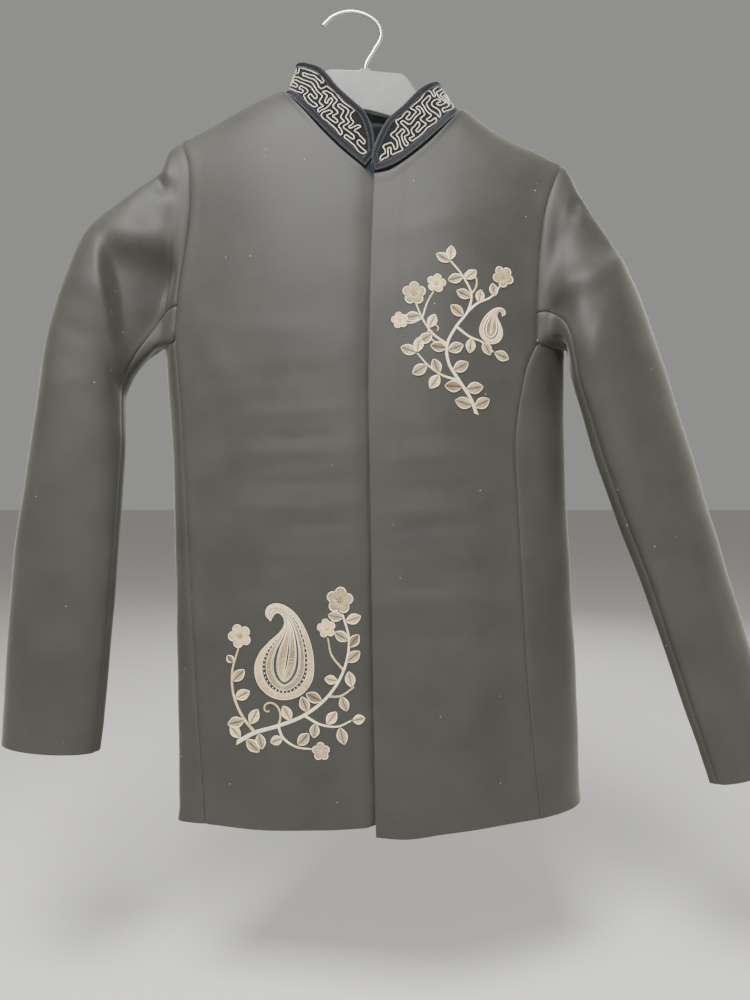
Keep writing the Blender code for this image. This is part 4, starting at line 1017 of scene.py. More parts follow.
def bindingRail(inset):
    # a line round the band, this far in from its edges: down one way along the neck, back along the top
    inset = max(inset, 0.0)
    line = []
    for way in (0, 1):
        for s in (bandParts if way == 0 else bandParts[::-1]):
            height = bandHeight(s)
            here = min(inset, collarCut["bindingMost"] * height)
            inner = min(max(s, inset), neckLength - inset)
            line.append((inner, here - collarCut["bindingDrop"] if way == 0 else height - here))
    return line


def bindingGrid():
    width = collarCut["bindingWidth"]
    lift = collarCut["wall"] / 2 + collarCut["bindingWall"] / 2 + collarCut["bindingLift"]
    columns = []
    for k in range(collarCut["bindingColumns"] + 1):
        part = k / collarCut["bindingColumns"]
        crown = collarCut["bindingCrown"] * math.sin(math.pi * part)
        rail = bindingRail(collarCut["bindingInset"] + width * part)
        columns.append([bandFace(s, h, lift + crown)[0] for s, h in rail])
    loop = np.array(columns).swapaxes(0, 1)
    return np.concatenate([loop, loop[:1]])


ribbon = bindingGrid()
pieces["collar_binding"] = clothPiece("collar_binding", ribbon, {
    "flat": (0.0130, 0.794), "area": 0.0044, "seed": 33, "outward": awayFromNeck, "wall": collarCut["bindingWall"],
    "materials": [materials["ribbedSatin"], materials["ribbedSatin"]], "slot": "satin"})


print("coat: the hanger")
hookRoute = table("x drop", (-0.0256, 0.0100), (-0.0180, 0.0030), (-0.0025, -0.0015), (0.0119, 0.0024),
                   (0.0205, 0.0100), (0.0222, 0.0186), (0.0160, 0.0310), (0.0096, 0.0430), (0.0091, 0.0459))
hangerTop = table("x drop", (-0.0620, 0.0775), (-0.0500, 0.0750), (-0.0400, 0.0660), (-0.0273, 0.0500),
                   (-0.0194, 0.0472), (0.0040, 0.0480), (0.0052, 0.0465), (0.0130, 0.0465), (0.0142, 0.0484),
                   (0.0393, 0.0508), (0.0440, 0.0540), (0.0560, 0.0720), (0.0680, 0.0840), (0.0820, 0.0920))
hangerFoot = table("x drop", (0.1000, 0.1080), (0.0600, 0.0950), (0.0312, 0.0884), (0.0080, 0.0825),
                    (-0.0150, 0.0845), (-0.0600, 0.0910))
hangerMould = {
    "halfDepth": 0.0035, "edge": 0.0016,
    "armClearance": 0.0038, "armHeight": 0.0130, "armEndShort": 0.0080, "armNose": 0.004, "armSteps": 16,
    "armFirst": 4, "ribRadius": 0.0016, "ribSteps": 40,
}
hookWire = {"radius": 0.0015, "steps": 120}

# Injection-moulded polystyrene: light grey, a fine satin grain from the mould, faint flow marks
hangerPlastic = {
    "dark": "#4d4e49", "light": "#787972",
    "mottle": {"Scale": 42.0, "Detail": 5.0, "Roughness": 0.6, "Distortion": 0.8},
    "grain": {"Scale": 1400.0, "Detail": 2.0}, "bump": (0.35, 0.0001),
    "shader": {"Roughness": 0.46, "IOR": 1.55, "Specular IOR Level": 0.5},
}
# Drawn steel wire, bright nickel plated
plateWire = {
    "dark": "#b9bab8", "light": "#c9cac8", "mottle": {"Scale": 300.0, "Detail": 3.0}, "rough": (0.18, 0.34),
    "shader": {"Metallic": 1.0, "Roughness": 0.24},
}
materials["plastic"] = makeMottled("mouldedPolystyrene", hangerPlastic)
materials["wire"] = makeMottled("brightPlatedWire", plateWire)


def armLine(side, below):
    # points under one shoulder, from the neck out to the arm's end
    rows = shoulder[side]
    reach = rows["x"][-1] - math.copysign(hangerMould["armEndShort"], rows["x"][-1])
    first, count = hangerMould["armFirst"], hangerMould["armSteps"]
    xs = [rows["x"][0] + (reach - rows["x"][0]) * k / count for k in range(first, count + 1)]
    return [(x, shoulderDrop(x) + hangerMould["armClearance"] + below) for x in xs]


def hangerOutline():
    outline = list(zip(hangerTop["x"], hangerTop["drop"]))
    for side in ("left", "right"):
        upper = armLine(side, 0.0)
        lower = armLine(side, hangerMould["armHeight"])[::-1]
        xEnd, dropEnd = upper[-1]
        nose = (xEnd + math.copysign(hangerMould["armNose"], xEnd), dropEnd + hangerMould["armHeight"] / 2)
        arm = upper + [nose] + lower
        outline += arm + list(zip(hangerFoot["x"], hangerFoot["drop"])) if side == "left" else arm[::-1]
    return outline


def meshOf(obj, name):
    # the evaluated object as a plain mesh, with its place in the mesh
    deps = bpy.context.evaluated_depsgraph_get()
    mesh = bpy.data.meshes.new_from_object(obj.evaluated_get(deps), depsgraph=deps)
    mesh.transform(obj.matrix_world)
    made = placed(name, mesh)
    bpy.data.objects.remove(obj)
    mesh.name = name
    return made


def wirePiece(name, points, radius, material, resolution=6):
    # a round wire along points
    curve = bpy.data.curves.new(name, "CURVE")
    curve.dimensions = "3D"
    curve.bevel_depth = radius
    curve.bevel_resolution = resolution
    curve.use_fill_caps = True
    line = curve.splines.new("POLY")
    line.points.add(len(points) - 1)
    for point, place in zip(line.points, points):
        point.co = (*place, 1.0)
    made = meshOf(placed(name + "Curve", curve), name)
    made.data.materials.append(material)
    made.data.shade_smooth()
    return made


def hangerPlate():
    curve = bpy.data.curves.new("hangerCurve", "CURVE")
    curve.dimensions = "2D"
    curve.fill_mode = "BOTH"
    curve.extrude = hangerMould["halfDepth"] - hangerMould["edge"]
    curve.bevel_depth = hangerMould["edge"]
    curve.bevel_resolution = 4
    curve.offset = -hangerMould["edge"]
    outline = hangerOutline()
    line = curve.splines.new("POLY")
    line.points.add(len(outline) - 1)
    for point, (x, drop) in zip(line.points, outline):
        point.co = (x, -drop, 0.0, 1.0)
    line.use_cyclic_u = True
    flat = placed("hangerCurve", curve)
    flat.rotation_euler = (math.pi / 2, 0.0, 0.0)
    bpy.context.view_layer.update()
    plate = meshOf(flat, "hanger_moulding")
    plate.data.materials.clear()
    plate.data.materials.append(materials["plastic"])
    plate.data.set_sharp_from_angle(angle=math.radians(40))
    return plate


plate = hangerPlate()
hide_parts("hanger")
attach(plate, "root")

# The stiffening ribs moulded along both faces of the lower edge
foot = table("x drop", (-0.0620, 0.0885), (-0.0400, 0.0862), (-0.0150, 0.0825), (0.0080, 0.0805), (0.0312, 0.0862),
             (0.0480, 0.0905), (0.0700, 0.0955))
for side, y in (("front", -hangerMould["halfDepth"]), ("behind", hangerMould["halfDepth"])):
    ribLine = [route(foot, k / hangerMould["ribSteps"]) for k in range(hangerMould["ribSteps"] + 1)]
    rib = wirePiece("hanger_rib_" + side, [(x, y, -drop) for x, drop in ribLine], hangerMould["ribRadius"],
                    materials["plastic"], resolution=3)
    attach(rib, "root")

hookLine = [route(hookRoute, k / hookWire["steps"]) for k in range(hookWire["steps"] + 1)]
hook = wirePiece("hanger_wire", [(x, 0.0, -drop) for x, drop in hookLine], hookWire["radius"], materials["wire"])
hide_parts("hanger_hook")
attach(hook, "root")


print("coat: the node trees for thread, cord and stitches")


def treeStart(name, inputs):
    # an empty geometry tree with its named inputs; gives the tree, its sockets by name, and where geometry comes in
    tree = bpy.data.node_groups.new(name, "GeometryNodeTree")
    face = tree.interface
    face.new_socket("Geometry", in_out="INPUT", socket_type="NodeSocketGeometry")
    sockets = {}
    for label, (kind, value) in inputs.items():
        socket = face.new_socket(label, in_out="INPUT", socket_type="NodeSocket" + kind)
        if value is not None:
            socket.default_value = value
        sockets[label] = socket.identifier
    face.new_socket("Geometry", in_out="OUTPUT", socket_type="NodeSocketGeometry")
    return tree, sockets, tree.nodes.new("NodeGroupInput")


def treeEnd(tree, given, made):
    real = addNode(tree, "GeometryNodeRealizeInstances", None, {"Geometry": made})
    coloured = addNode(tree, "GeometryNodeSetMaterial", None,
                       {"Geometry": real.outputs[0], "Material": given.outputs["Material"]})
    tree.links.new(coloured.outputs[0], tree.nodes.new("NodeGroupOutput").inputs["Geometry"])


def threadTree():
    # lines in, round threads out, with where along and where around each thread as attributes
    tree, sockets, given = treeStart("threads", {
        "Radius": ("Float", 0.0003), "Sides": ("Int", 5), "Material": ("Material", None)})
    lines = addNode(tree, "GeometryNodeMeshToCurve", None, {"Mesh": given.outputs["Geometry"]})
    run = addNode(tree, "GeometryNodeSplineParameter")
    measured = addNode(tree, "GeometryNodeStoreNamedAttribute",
                       {"data_type": "FLOAT", "domain": "POINT", "Name": "along"},
                       {"Geometry": lines.outputs[0], "Value": run.outputs["Length"]})
    ring = addNode(tree, "GeometryNodeCurvePrimitiveCircle", None,
                   {"Resolution": given.outputs["Sides"], "Radius": given.outputs["Radius"]})
    turn = addNode(tree, "GeometryNodeSplineParameter")
    marked = addNode(tree, "GeometryNodeStoreNamedAttribute",
                     {"data_type": "FLOAT", "domain": "POINT", "Name": "around"},
                     {"Geometry": ring.outputs[0], "Value": turn.outputs["Factor"]})
    tube = addNode(tree, "GeometryNodeCurveToMesh", {"Fill Caps": True},
                   {"Curve": measured.outputs[0], "Profile Curve": marked.outputs[0]})
    smooth = addNode(tree, "GeometryNodeSetShadeSmooth", None, {"Geometry": tube.outputs[0]})
    treeEnd(tree, given, smooth.outputs[0])
    return tree, sockets


def stitchTree():
    # a guide line with an "outward" direction at each point in, evenly spaced stitches out
    tree, sockets, given = treeStart("stitches", {
        "Pitch": ("Float", 0.002), "Length": ("Float", 0.0014), "Radius": ("Float", 0.00025),
        "Lean": ("Float", 0.0), "Seed": ("Int", 1), "Material": ("Material", None)})
    lines = addNode(tree, "GeometryNodeMeshToCurve", None, {"Mesh": given.outputs["Geometry"]})
    spaced = addNode(tree, "GeometryNodeResampleCurve", {"mode": "LENGTH"},
                     {"Curve": lines.outputs[0], "Length": given.outputs["Pitch"]})
    outward = addNode(tree, "GeometryNodeInputNamedAttribute", {"data_type": "FLOAT_VECTOR", "Name": "outward"})
    direction = addNode(tree, "GeometryNodeInputTangent")
    faceOut = addNode(tree, "FunctionNodeAlignRotationToVector", {"axis": "Z"},
                      {"Vector": outward.outputs["Attribute"]})
    faceOn = addNode(tree, "FunctionNodeAlignRotationToVector", {"axis": "X", "pivot_axis": "Z"},
                     {"Rotation": faceOut.outputs[0], "Vector": direction.outputs[0]})
    jitter = addNode(tree, "FunctionNodeRandomValue", {"data_type": "FLOAT", 2: -0.10, 3: 0.10},
                     {"Seed": given.outputs["Seed"]})
    lean = addNode(tree, "ShaderNodeMath", {"operation": "ADD"}, {0: given.outputs["Lean"], 1: jitter.outputs[1]})
    turned = addNode(tree, "FunctionNodeAxisAngleToRotation", {"Axis": (0.0, 0.0, 1.0)}, {"Angle": lean.outputs[0]})
    rotation = addNode(tree, "FunctionNodeRotateRotation", {"rotation_space": "LOCAL"},
                       {"Rotation": faceOn.outputs[0], "Rotate By": turned.outputs[0]})
    half = addNode(tree, "ShaderNodeMath", {"operation": "MULTIPLY", 1: 0.5}, {0: given.outputs["Length"]})
    back = addNode(tree, "ShaderNodeMath", {"operation": "MULTIPLY", 1: -0.5}, {0: given.outputs["Length"]})
    start = addNode(tree, "ShaderNodeCombineXYZ", None, {"X": back.outputs[0]})
    end = addNode(tree, "ShaderNodeCombineXYZ", None, {"X": half.outputs[0]})
    rise = addNode(tree, "ShaderNodeMath", {"operation": "MULTIPLY", 1: 1.6}, {0: given.outputs["Radius"]})
    crown = addNode(tree, "ShaderNodeCombineXYZ", None, {"Z": rise.outputs[0]})
    bow = addNode(tree, "GeometryNodeCurveQuadraticBezier", {"Resolution": 4},
                  {"Start": start.outputs[0], "Middle": crown.outputs[0], "End": end.outputs[0]})
    ring = addNode(tree, "GeometryNodeCurvePrimitiveCircle", {"Resolution": 6}, {"Radius": given.outputs["Radius"]})
    stitch = addNode(tree, "GeometryNodeCurveToMesh", {"Fill Caps": True},
                     {"Curve": bow.outputs[0], "Profile Curve": ring.outputs[0]})
    smooth = addNode(tree, "GeometryNodeSetShadeSmooth", None, {"Geometry": stitch.outputs[0]})
    laid = addNode(tree, "GeometryNodeInstanceOnPoints", None,
                   {"Points": spaced.outputs[0], "Instance": smooth.outputs[0], "Rotation": rotation.outputs[0]})
    treeEnd(tree, given, laid.outputs[0])
    return tree, sockets


def knotTree():
    # points in, small rounded knots out
    tree, sockets, given = treeStart("knots", {
        "Radius": ("Float", 0.0006), "Seed": ("Int", 1), "Material": ("Material", None)})
    ball = addNode(tree, "GeometryNodeMeshIcoSphere", {"Subdivisions": 2}, {"Radius": given.outputs["Radius"]})
    smooth = addNode(tree, "GeometryNodeSetShadeSmooth", None, {"Geometry": ball.outputs[0]})
    size = addNode(tree, "FunctionNodeRandomValue", {"data_type": "FLOAT", 2: 0.8, 3: 1.15},
                   {"Seed": given.outputs["Seed"]})
    laid = addNode(tree, "GeometryNodeInstanceOnPoints", None,
                   {"Points": given.outputs["Geometry"], "Instance": smooth.outputs[0], "Scale": size.outputs[1]})
    treeEnd(tree, given, laid.outputs[0])
    return tree, sockets


trees = {"threads": threadTree(), "stitches": stitchTree(), "knots": knotTree()}


def linesMesh(name, lines, attributes=None):
    # several lines of points as one mesh of loose edges; attributes holds one list of values for each name
    points, edges = [], []
    for line in lines:
        first = len(points)
        points += [tuple(float(v) for v in point) for point in line]
        edges += [(first + k, first + k + 1) for k in range(len(line) - 1)]
    mesh = bpy.data.meshes.new(name)
    mesh.from_pydata(points, edges, [])
    for label, values in (attributes or {}).items():
        flat = np.array(values, dtype=float)
        kind = "FLOAT_VECTOR" if flat.ndim == 2 else "FLOAT"
        layer = mesh.attributes.new(label, kind, "POINT")
        layer.data.foreach_set("vector" if flat.ndim == 2 else "value", flat.ravel())
    return mesh


def grown(name, lines, tree, values, attributes=None):
    # runs one of the trees on lines, and leaves its result as a plain mesh that rides on the coat
    group, sockets = trees[tree]
    guide = placed(name + "Guide", linesMesh(name, lines, attributes))
    growth = guide.modifiers.new("Growth", "NODES")
    growth.node_group = group
    for label, value in values.items():
        growth[sockets[label]] = value
    made = meshOf(guide, name)
    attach(made, "root")
    print("  ", name, len(made.data.polygons), "faces")
    return made


# Twisted viscose cord, ivory: two strands wind round each other and shine on each turn, and each strand turns grey
# towards the groove between them, painted shade
meanderCord = {
    "pitch": 0.0032,  # between neighbouring runs
    "radius": 0.00044, "rows": 4, "inset": 0.0036, "margin": 0.0046, "wander": 0.00052, "seed": 12,
    "sway": 0.0011, "ripple": 0.0006, "bob": 0.0007,  # how far the whole net strays, in unlike waves
    "wind": 0.50,  # how often a run goes on from its own end, and doesn't branch off
    "twist": 0.0021,  # length of one turn
    # the grey is painted shade, laid in the grooves between the strands
    "ivory": "#e6dcc6", "grooveShade": "#a99f8d",
    "shader": {"Roughness": 0.40, "Specular IOR Level": 0.6, "Sheen Weight": 0.3, "IOR": 1.52},
}
# Mercerised sewing thread, slate grey
trimThread = {
    "colour": "#4a5058", "shadow": "#2c3036", "twist": 0.0012, "pitch": 0.0015, "length": 0.0021, "radius": 0.00019,
    "shader": {"Roughness": 0.48, "Specular IOR Level": 0.5, "IOR": 1.52},
}
# Satin piping rolled over a filler cord, a lighter grey than the binding
satinPiping = {
    "radius": 0.00085, "dark": "#191d22", "light": "#30353c",
    "mottle": {"Scale": 420.0, "Detail": 3.0}, "bump": (0.4, 0.0001),
    "shader": {"Roughness": 0.40, "Specular IOR Level": 0.40, "Sheen Weight": 0.10},
}


def makeTwisted(name, first, second, turn, strands, shaderSettings, height=0.00012):
    # thread or cord whose strands wind round it, from where along and around it a point is; the first colour lies on
    # each strand's crown and the second in the grooves between, painted shade
    material, tree, shader = newMaterial(name, shaderSettings)
    along = addNode(tree, "ShaderNodeAttribute", {"attribute_name": "along"})
    around = addNode(tree, "ShaderNodeAttribute", {"attribute_name": "around"})
    wound = addNode(tree, "ShaderNodeMath", {"operation": "MULTIPLY", 1: 1.0 / turn}, {0: along.outputs["Fac"]})
    spread = addNode(tree, "ShaderNodeMath", {"operation": "MULTIPLY_ADD", 1: float(strands)},
                     {0: around.outputs["Fac"], 2: wound.outputs[0]})
    wave = addNode(tree, "ShaderNodeMath", {"operation": "PINGPONG", 1: 0.5}, {0: spread.outputs[0]})
    grooveShadeMask = addNode(tree, "ShaderNodeMapRange", {"From Min": 0.0, "From Max": 0.5}, {"Value": wave.outputs[0]})
    tree.links.new(addMix(tree, first, second, grooveShadeMask.outputs["Result"]), shader.inputs["Base Color"])
    addBump(tree, shader, 0.7, height, grooveShadeMask.outputs["Result"], invert=True)
    return material


materials["cord"] = makeTwisted("twistedViscoseCord", meanderCord["ivory"], meanderCord["grooveShade"],
                                meanderCord["twist"], 2, meanderCord["shader"])
materials["trimThread"] = makeTwisted("mercerisedTrimThread", trimThread["colour"], trimThread["shadow"],
                                      trimThread["twist"], 2, trimThread["shader"], 0.00004)
materials["piping"] = makeMottled("rolledSatinPiping", satinPiping)


def meanderLoop(columns, rows, usable, seed, wind):
    # one closed line through every cell's four quarters, round a random tree that joins the cells
    rng = random.Random(seed)
    cells = [(i, j) for i in range(columns) for j in range(rows) if usable(i, j)]
    joined, open_, links = set(), [cells[len(cells) // 2]], []
    joined.add(open_[0])
    while open_:
        i, j = open_[-1 if rng.random() < wind else rng.randrange(len(open_))]
        near = [(i + a, j + b) for a, b in ((1, 0), (-1, 0), (0, 1), (0, -1), (0, 1), (0, -1))
                if (i + a, j + b) in cells and (i + a, j + b) not in joined]
        if not near:
            open_.remove((i, j))
            continue
        chosen = rng.choice(near)
        joined.add(chosen)
        open_.append(chosen)
        links.append(((i, j), chosen))
    edges = set()
    for i, j in joined:
        a, b, c, d = (2 * i, 2 * j), (2 * i + 1, 2 * j), (2 * i + 1, 2 * j + 1), (2 * i, 2 * j + 1)
        edges |= {frozenset(pair) for pair in ((a, b), (b, c), (c, d), (d, a))}
    for (i, j), (k, m) in links:
        (i, j), (k, m) = sorted(((i, j), (k, m)))
        if k > i:
            one, two = ((2 * i + 1, 2 * j), (2 * i + 1, 2 * j + 1)), ((2 * k, 2 * j), (2 * k, 2 * j + 1))
        else:
            one, two = ((2 * i, 2 * j + 1), (2 * i + 1, 2 * j + 1)), ((2 * i, 2 * m), (2 * i + 1, 2 * m))
        edges -= {frozenset(one), frozenset(two)}
        edges |= {frozenset((one[0], two[0])), frozenset((one[1], two[1]))}
    beside = {}
    for edge in edges:
        a, b = tuple(edge)
        beside.setdefault(a, []).append(b)
        beside.setdefault(b, []).append(a)
    start = min(beside)
    loop, last, here = [start], None, start
    while True:
        ahead = [p for p in sorted(beside[here]) if p != last]
        last, here = here, ahead[0]
        if here == start:
            return loop
        loop.append(here)


def rounded(points, times):
    # cut the corners of a closed line of points, so that it bends smoothly
    points = np.array(points, float)
    for _ in range(times):
        after = np.roll(points, -1, axis=0)
        both = np.empty((2 * len(points), points.shape[1]))
        both[0::2], both[1::2] = 0.75 * points + 0.25 * after, 0.25 * points + 0.75 * after
        points = both
    return points


bandSteps = (360, 24)
bandTable = {
    "s": np.linspace(0, neckLength, bandSteps[0] + 1),
    "h": np.linspace(-0.005, collarCut["height"] + 0.002, bandSteps[1] + 1),
}
bandSpots = np.array([[np.concatenate(bandFace(s, h, 0.0)) for h in bandTable["h"]] for s in bandTable["s"]])


def onBand(s, h, out):
    # a point of the band by table, and its outward direction
    i = np.interp(s, bandTable["s"], np.arange(bandSteps[0] + 1))
    j = np.interp(h, bandTable["h"], np.arange(bandSteps[1] + 1))
    a, b = min(int(i), bandSteps[0] - 1), min(int(j), bandSteps[1] - 1)
    u, v = i - a, j - b
    spot = ((bandSpots[a, b] * (1 - u) + bandSpots[a + 1, b] * u) * (1 - v)
            + (bandSpots[a, b + 1] * (1 - u) + bandSpots[a + 1, b + 1] * u) * v)
    normal = spot[3:] / np.linalg.norm(spot[3:])
    return spot[:3] + normal * out, normal


def collarCord():
    s = meanderCord
    pitch, inset = s["pitch"], s["inset"]
    columns = int((neckLength - 2 * inset) / (2 * pitch))
    start = (neckLength - columns * 2 * pitch) / 2

    def usable(i, j):
        far = [start + (2 * i + k) * pitch for k in (0, 1, 2)]
        return min(bandHeight(at) for at in far) >= inset + (j + 1) * 2 * pitch + s["margin"]

    loop = meanderLoop(columns, s["rows"], usable, s["seed"], s["wind"])
    rng = random.Random(s["seed"])
    spots = []
    for i, j in loop:
        at = start + (i + 0.5) * pitch + rng.uniform(-1, 1) * s["wander"]
        up = inset + (j + 0.5) * pitch + rng.uniform(-1, 1) * s["wander"]
        at += s["sway"] * math.sin(up * 420 + at * 90) + s["ripple"] * math.sin(at * 260)
        up += s["bob"] * math.sin(at * 310 + 1.0)
        spots.append((at, up))
    spots = rounded(spots, 3)
    lift = collarCut["wall"] / 2 + s["radius"] * 0.72
    line = [onBand(at, up, lift)[0] for at, up in spots]
    return [line + line[:1]]


grown("collar_cord", collarCord(), "threads",
      {"Radius": meanderCord["radius"], "Sides": 8, "Material": materials["cord"]})

stitchLift = collarCut["wall"] / 2 + collarCut["bindingLift"] + collarCut["bindingWall"]
for where, inset in (("inner", collarCut["bindingWidth"] + 0.0001), ("outer", 0.0012)):
    spots = [onBand(s, h, stitchLift if where == "inner" else stitchLift + 0.0002) for s, h in bindingRail(inset)]
    spots.append(spots[0])
    grown("collar_stitches_" + where, [[spot for spot, _ in spots]], "stitches", {
        "Pitch": trimThread["pitch"], "Length": trimThread["length"] * (1.0 if where == "inner" else 0.7),
        "Radius": trimThread["radius"], "Lean": math.radians(86), "Seed": 3 if where == "inner" else 7,
        "Material": materials["trimThread"]}, {"outward": [normal for _, normal in spots]})

topLine = [onBand(s, bandHeight(s), 0.0)[0] for s in bandParts]
piping = wirePiece("collar_piping", topLine, satinPiping["radius"], materials["piping"], resolution=3)
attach(piping, "root")

# A press stud's pearly cap, moulded nylon: rounded, with a rim, sewn inside the left end of the collar
studCap = {
    "s": 0.0105, "h": 0.0150, "radius": 0.0031, "rise": 0.0017, "segments": 28,
    "dark": "#bdb9b0", "light": "#d9d6cd", "mottle": {"Scale": 380.0, "Detail": 2.0},
    "shader": {"Roughness": 0.22, "Specular IOR Level": 0.6, "Coat Weight": 0.5, "Coat Roughness": 0.12, "IOR": 1.53},
}


def pressStud():
    s = studCap
    at = neckLength - s["s"]
    spot, normal = onBand(at, s["h"], -collarCut["wall"] / 2)
    out = -Vector(normal)
    along = (Vector(onBand(at + 0.003, s["h"], 0)[0]) - Vector(onBand(at - 0.003, s["h"], 0)[0])).normalized()
    side = out.cross(along).normalized()
    along = side.cross(out)
    # the cap's outline from its foot to its middle: the foot, a rolled rim, a groove, then the dome
    profile = [(1.0, 0.0), (1.05, 0.25), (1.0, 0.45), (0.86, 0.50), (0.80, 0.44), (0.72, 0.52), (0.50, 0.82),
               (0.24, 0.97)]
    points = []
    for reach, rise in profile:
        for k in range(s["segments"]):
            way = 2 * math.pi * k / s["segments"]
            points.append(Vector(spot) + out * rise * s["rise"]
                          + (along * math.cos(way) + side * math.sin(way)) * reach * s["radius"])
    points += [Vector(spot) + out * s["rise"], Vector(spot)]
    count = s["segments"]
    faces = []
    for ring in range(len(profile) - 1):
        for k in range(count):
            a, b = ring * count + k, ring * count + (k + 1) % count
            faces.append((a, b, b + count, a + count))
    last = (len(profile) - 1) * count
    faces += [(last + k, last + (k + 1) % count, len(points) - 2) for k in range(count)]
    faces += [((k + 1) % count, k, len(points) - 1) for k in range(count)]
    mesh = bpy.data.meshes.new("collar_stud")
    mesh.from_pydata([tuple(p) for p in points], [], faces)
    mesh.shade_smooth()
    mesh.materials.append(makeMottled("pearlyMouldedNylon", s))
    stud = placed("collar_stud", mesh)
    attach(stud, "root")


pressStud()


print("coat: the embroidery")
# Rayon embroidery thread laid in satin stitch: each thread is a bright line, and a leaf shines across its threads
stitching = {
    "radius": 0.00024, "pitch": 0.00043, "crown": 0.00042,
    "stemPitch": 0.00062, "stemSlant": 0.9, "stemCrown": 0.00030, "coverCrown": 0.00020,
    "sunk": 0.5, "proud": 1.6,  # how high a short and a long thread lie, in radii
    "shades": (0.0, 0.75),
    "knotRadius": 0.00055,
    "shader": {"Roughness": 0.36, "Specular IOR Level": 0.65, "Sheen Weight": 0.35, "IOR": 1.52,
               "Anisotropic": 0.4},
    "shine": 0.00005,
}
threadColours = {
    "gold": ("#bc9a5c", "#efd9a2"), "ivory": ("#e2d2a8", "#fff6dc"), "beige": ("#8d7852", "#bda679"),
    "brown": ("#6b5636", "#927750"), "dark": ("#23211d", "#38352e"),
}
sprays = {
    "chest": {"centre": (0.079, 0.273), "panel": "front_left"},
    "hip": {"centre": (-0.044, 0.526), "panel": "front_right"},
}


def makeThread(name, colours):
    material, tree, shader = newMaterial("rayonThread" + name.capitalize(), stitching["shader"])
    shade = addNode(tree, "ShaderNodeAttribute", {"attribute_name": "shade"})
    along = addNode(tree, "ShaderNodeAttribute", {"attribute_name": "along"})
    around = addNode(tree, "ShaderNodeAttribute", {"attribute_name": "around"})
    wound = addNode(tree, "ShaderNodeMath", {"operation": "MULTIPLY", 1: 1100.0}, {0: along.outputs["Fac"]})
    spread = addNode(tree, "ShaderNodeMath", {"operation": "ADD"}, {0: around.outputs["Fac"], 1: wound.outputs[0]})
    ply = addNode(tree, "ShaderNodeMath", {"operation": "PINGPONG", 1: 0.5}, {0: spread.outputs[0]})
    # each thread's own random tone from its shade attribute, plus a little lighter on each ply's crown where the bump
    # rises: painted highlight
    toneAndPlyHighlight = addNode(tree, "ShaderNodeMath", {"operation": "MULTIPLY_ADD", 1: 0.5},
                    {0: ply.outputs[0], 2: shade.outputs["Fac"]})
    tree.links.new(addMix(tree, colours[0], colours[1], toneAndPlyHighlight.outputs[0]), shader.inputs["Base Color"])
    addBump(tree, shader, 0.6, stitching["shine"], ply.outputs[0])
    return material


threadMaterials = {name: makeThread(name, colours) for name, colours in threadColours.items()}
deps = bpy.context.evaluated_depsgraph_get()
panelTrees = {name: BVHTree.FromObject(pieces[name], deps) for name in ("front_left", "front_right")}
laidThreads = {name: [] for name in threadColours}
laidShades = {name: [] for name in threadColours}
laidKnots = {name: [] for name in threadColours}
hand = random.Random(17)


def onCloth(spray, x, y, lift):
    # a point of the drawing, in millimetres from the spray's middle, on the cloth
    cx, drop = spray["centre"]
    start = Vector((cx + x / 1000, -0.3, -drop + y / 1000))
    hit, normal, _, _ = panelTrees[spray["panel"]].ray_cast(start, Vector((0, 1, 0)), 0.6)
    if hit is None:
        raise ValueError(f"the drawing leaves the cloth at {x:.1f}, {y:.1f}")
    if normal.y > 0:
        normal = -normal
    return hit + normal * lift


def sew(spray, colour, drawn, crown=None, shade=None):
    # one thread along drawn points, raised in its middle; a long one lies evenly over the others
    crown = stitching["crown"] if crown is None else crown
    count = len(drawn) - 1
    rest = stitching["radius"] * (stitching["sunk"] if count < 5 else stitching["proud"])
    line = [onCloth(spray, x, y, rest + crown * math.sin(math.pi * k / count)) for k, (x, y) in enumerate(drawn)]
    laidThreads[colour].append(line)
    shade = hand.uniform(*stitching["shades"]) if shade is None else shade
    laidShades[colour] += [shade] * len(line)


def between(a, b, steps=3):
    # evenly spaced points from a to b
    return [tuple(p + (q - p) * (k / steps) for p, q in zip(a, b)) for k in range(steps + 1)]


def smoothLine(points, spacing):
    # an evenly spaced line through points, with its direction at each
    points = np.array(points, float)
    fineT = np.linspace(0, len(points) - 1, 40 * len(points))
    keys = np.arange(len(points))
    run = np.array([[cubic(keys, points[:, 0], t), cubic(keys, points[:, 1], t)] for t in fineT])
    far = np.concatenate([[0], np.cumsum(np.linalg.norm(np.diff(run, axis=0), axis=1))])
    count = max(int(far[-1] / spacing), 2)
    at = np.linspace(0, far[-1], count + 1)
    line = np.stack([np.interp(at, far, run[:, 0]), np.interp(at, far, run[:, 1])], axis=1)
    direction = np.gradient(line, axis=0)
    return line, direction / np.linalg.norm(direction, axis=1, keepdims=True)


def stem(spray, colour, points, width=2.1, taper=0.55):
    # a stem: short threads laid slantwise across its line, close together like a rope
    line, direction = smoothLine(points, stitching["stemPitch"] * 1000)
    for k in range(len(line) - 1):
        t = k / (len(line) - 1)
        half = width / 2 * (1 - taper * t)
        side = np.array([-direction[k][1], direction[k][0]])
        lead = direction[k] * half * stitching["stemSlant"]
        start, end = line[k] - side * half - lead, line[k] + side * half + lead
        sew(spray, colour, between(start, end), crown=stitching["stemCrown"])


# A leaf in millimetres: where it starts along its line, how its threads slant and end, and its two border threads
leafShape = {"start": 0.8, "slant": 0.45, "fullness": 0.85, "ribGap": 0.25, "borderOut": 0.15, "borders": (0.0, 0.42)}


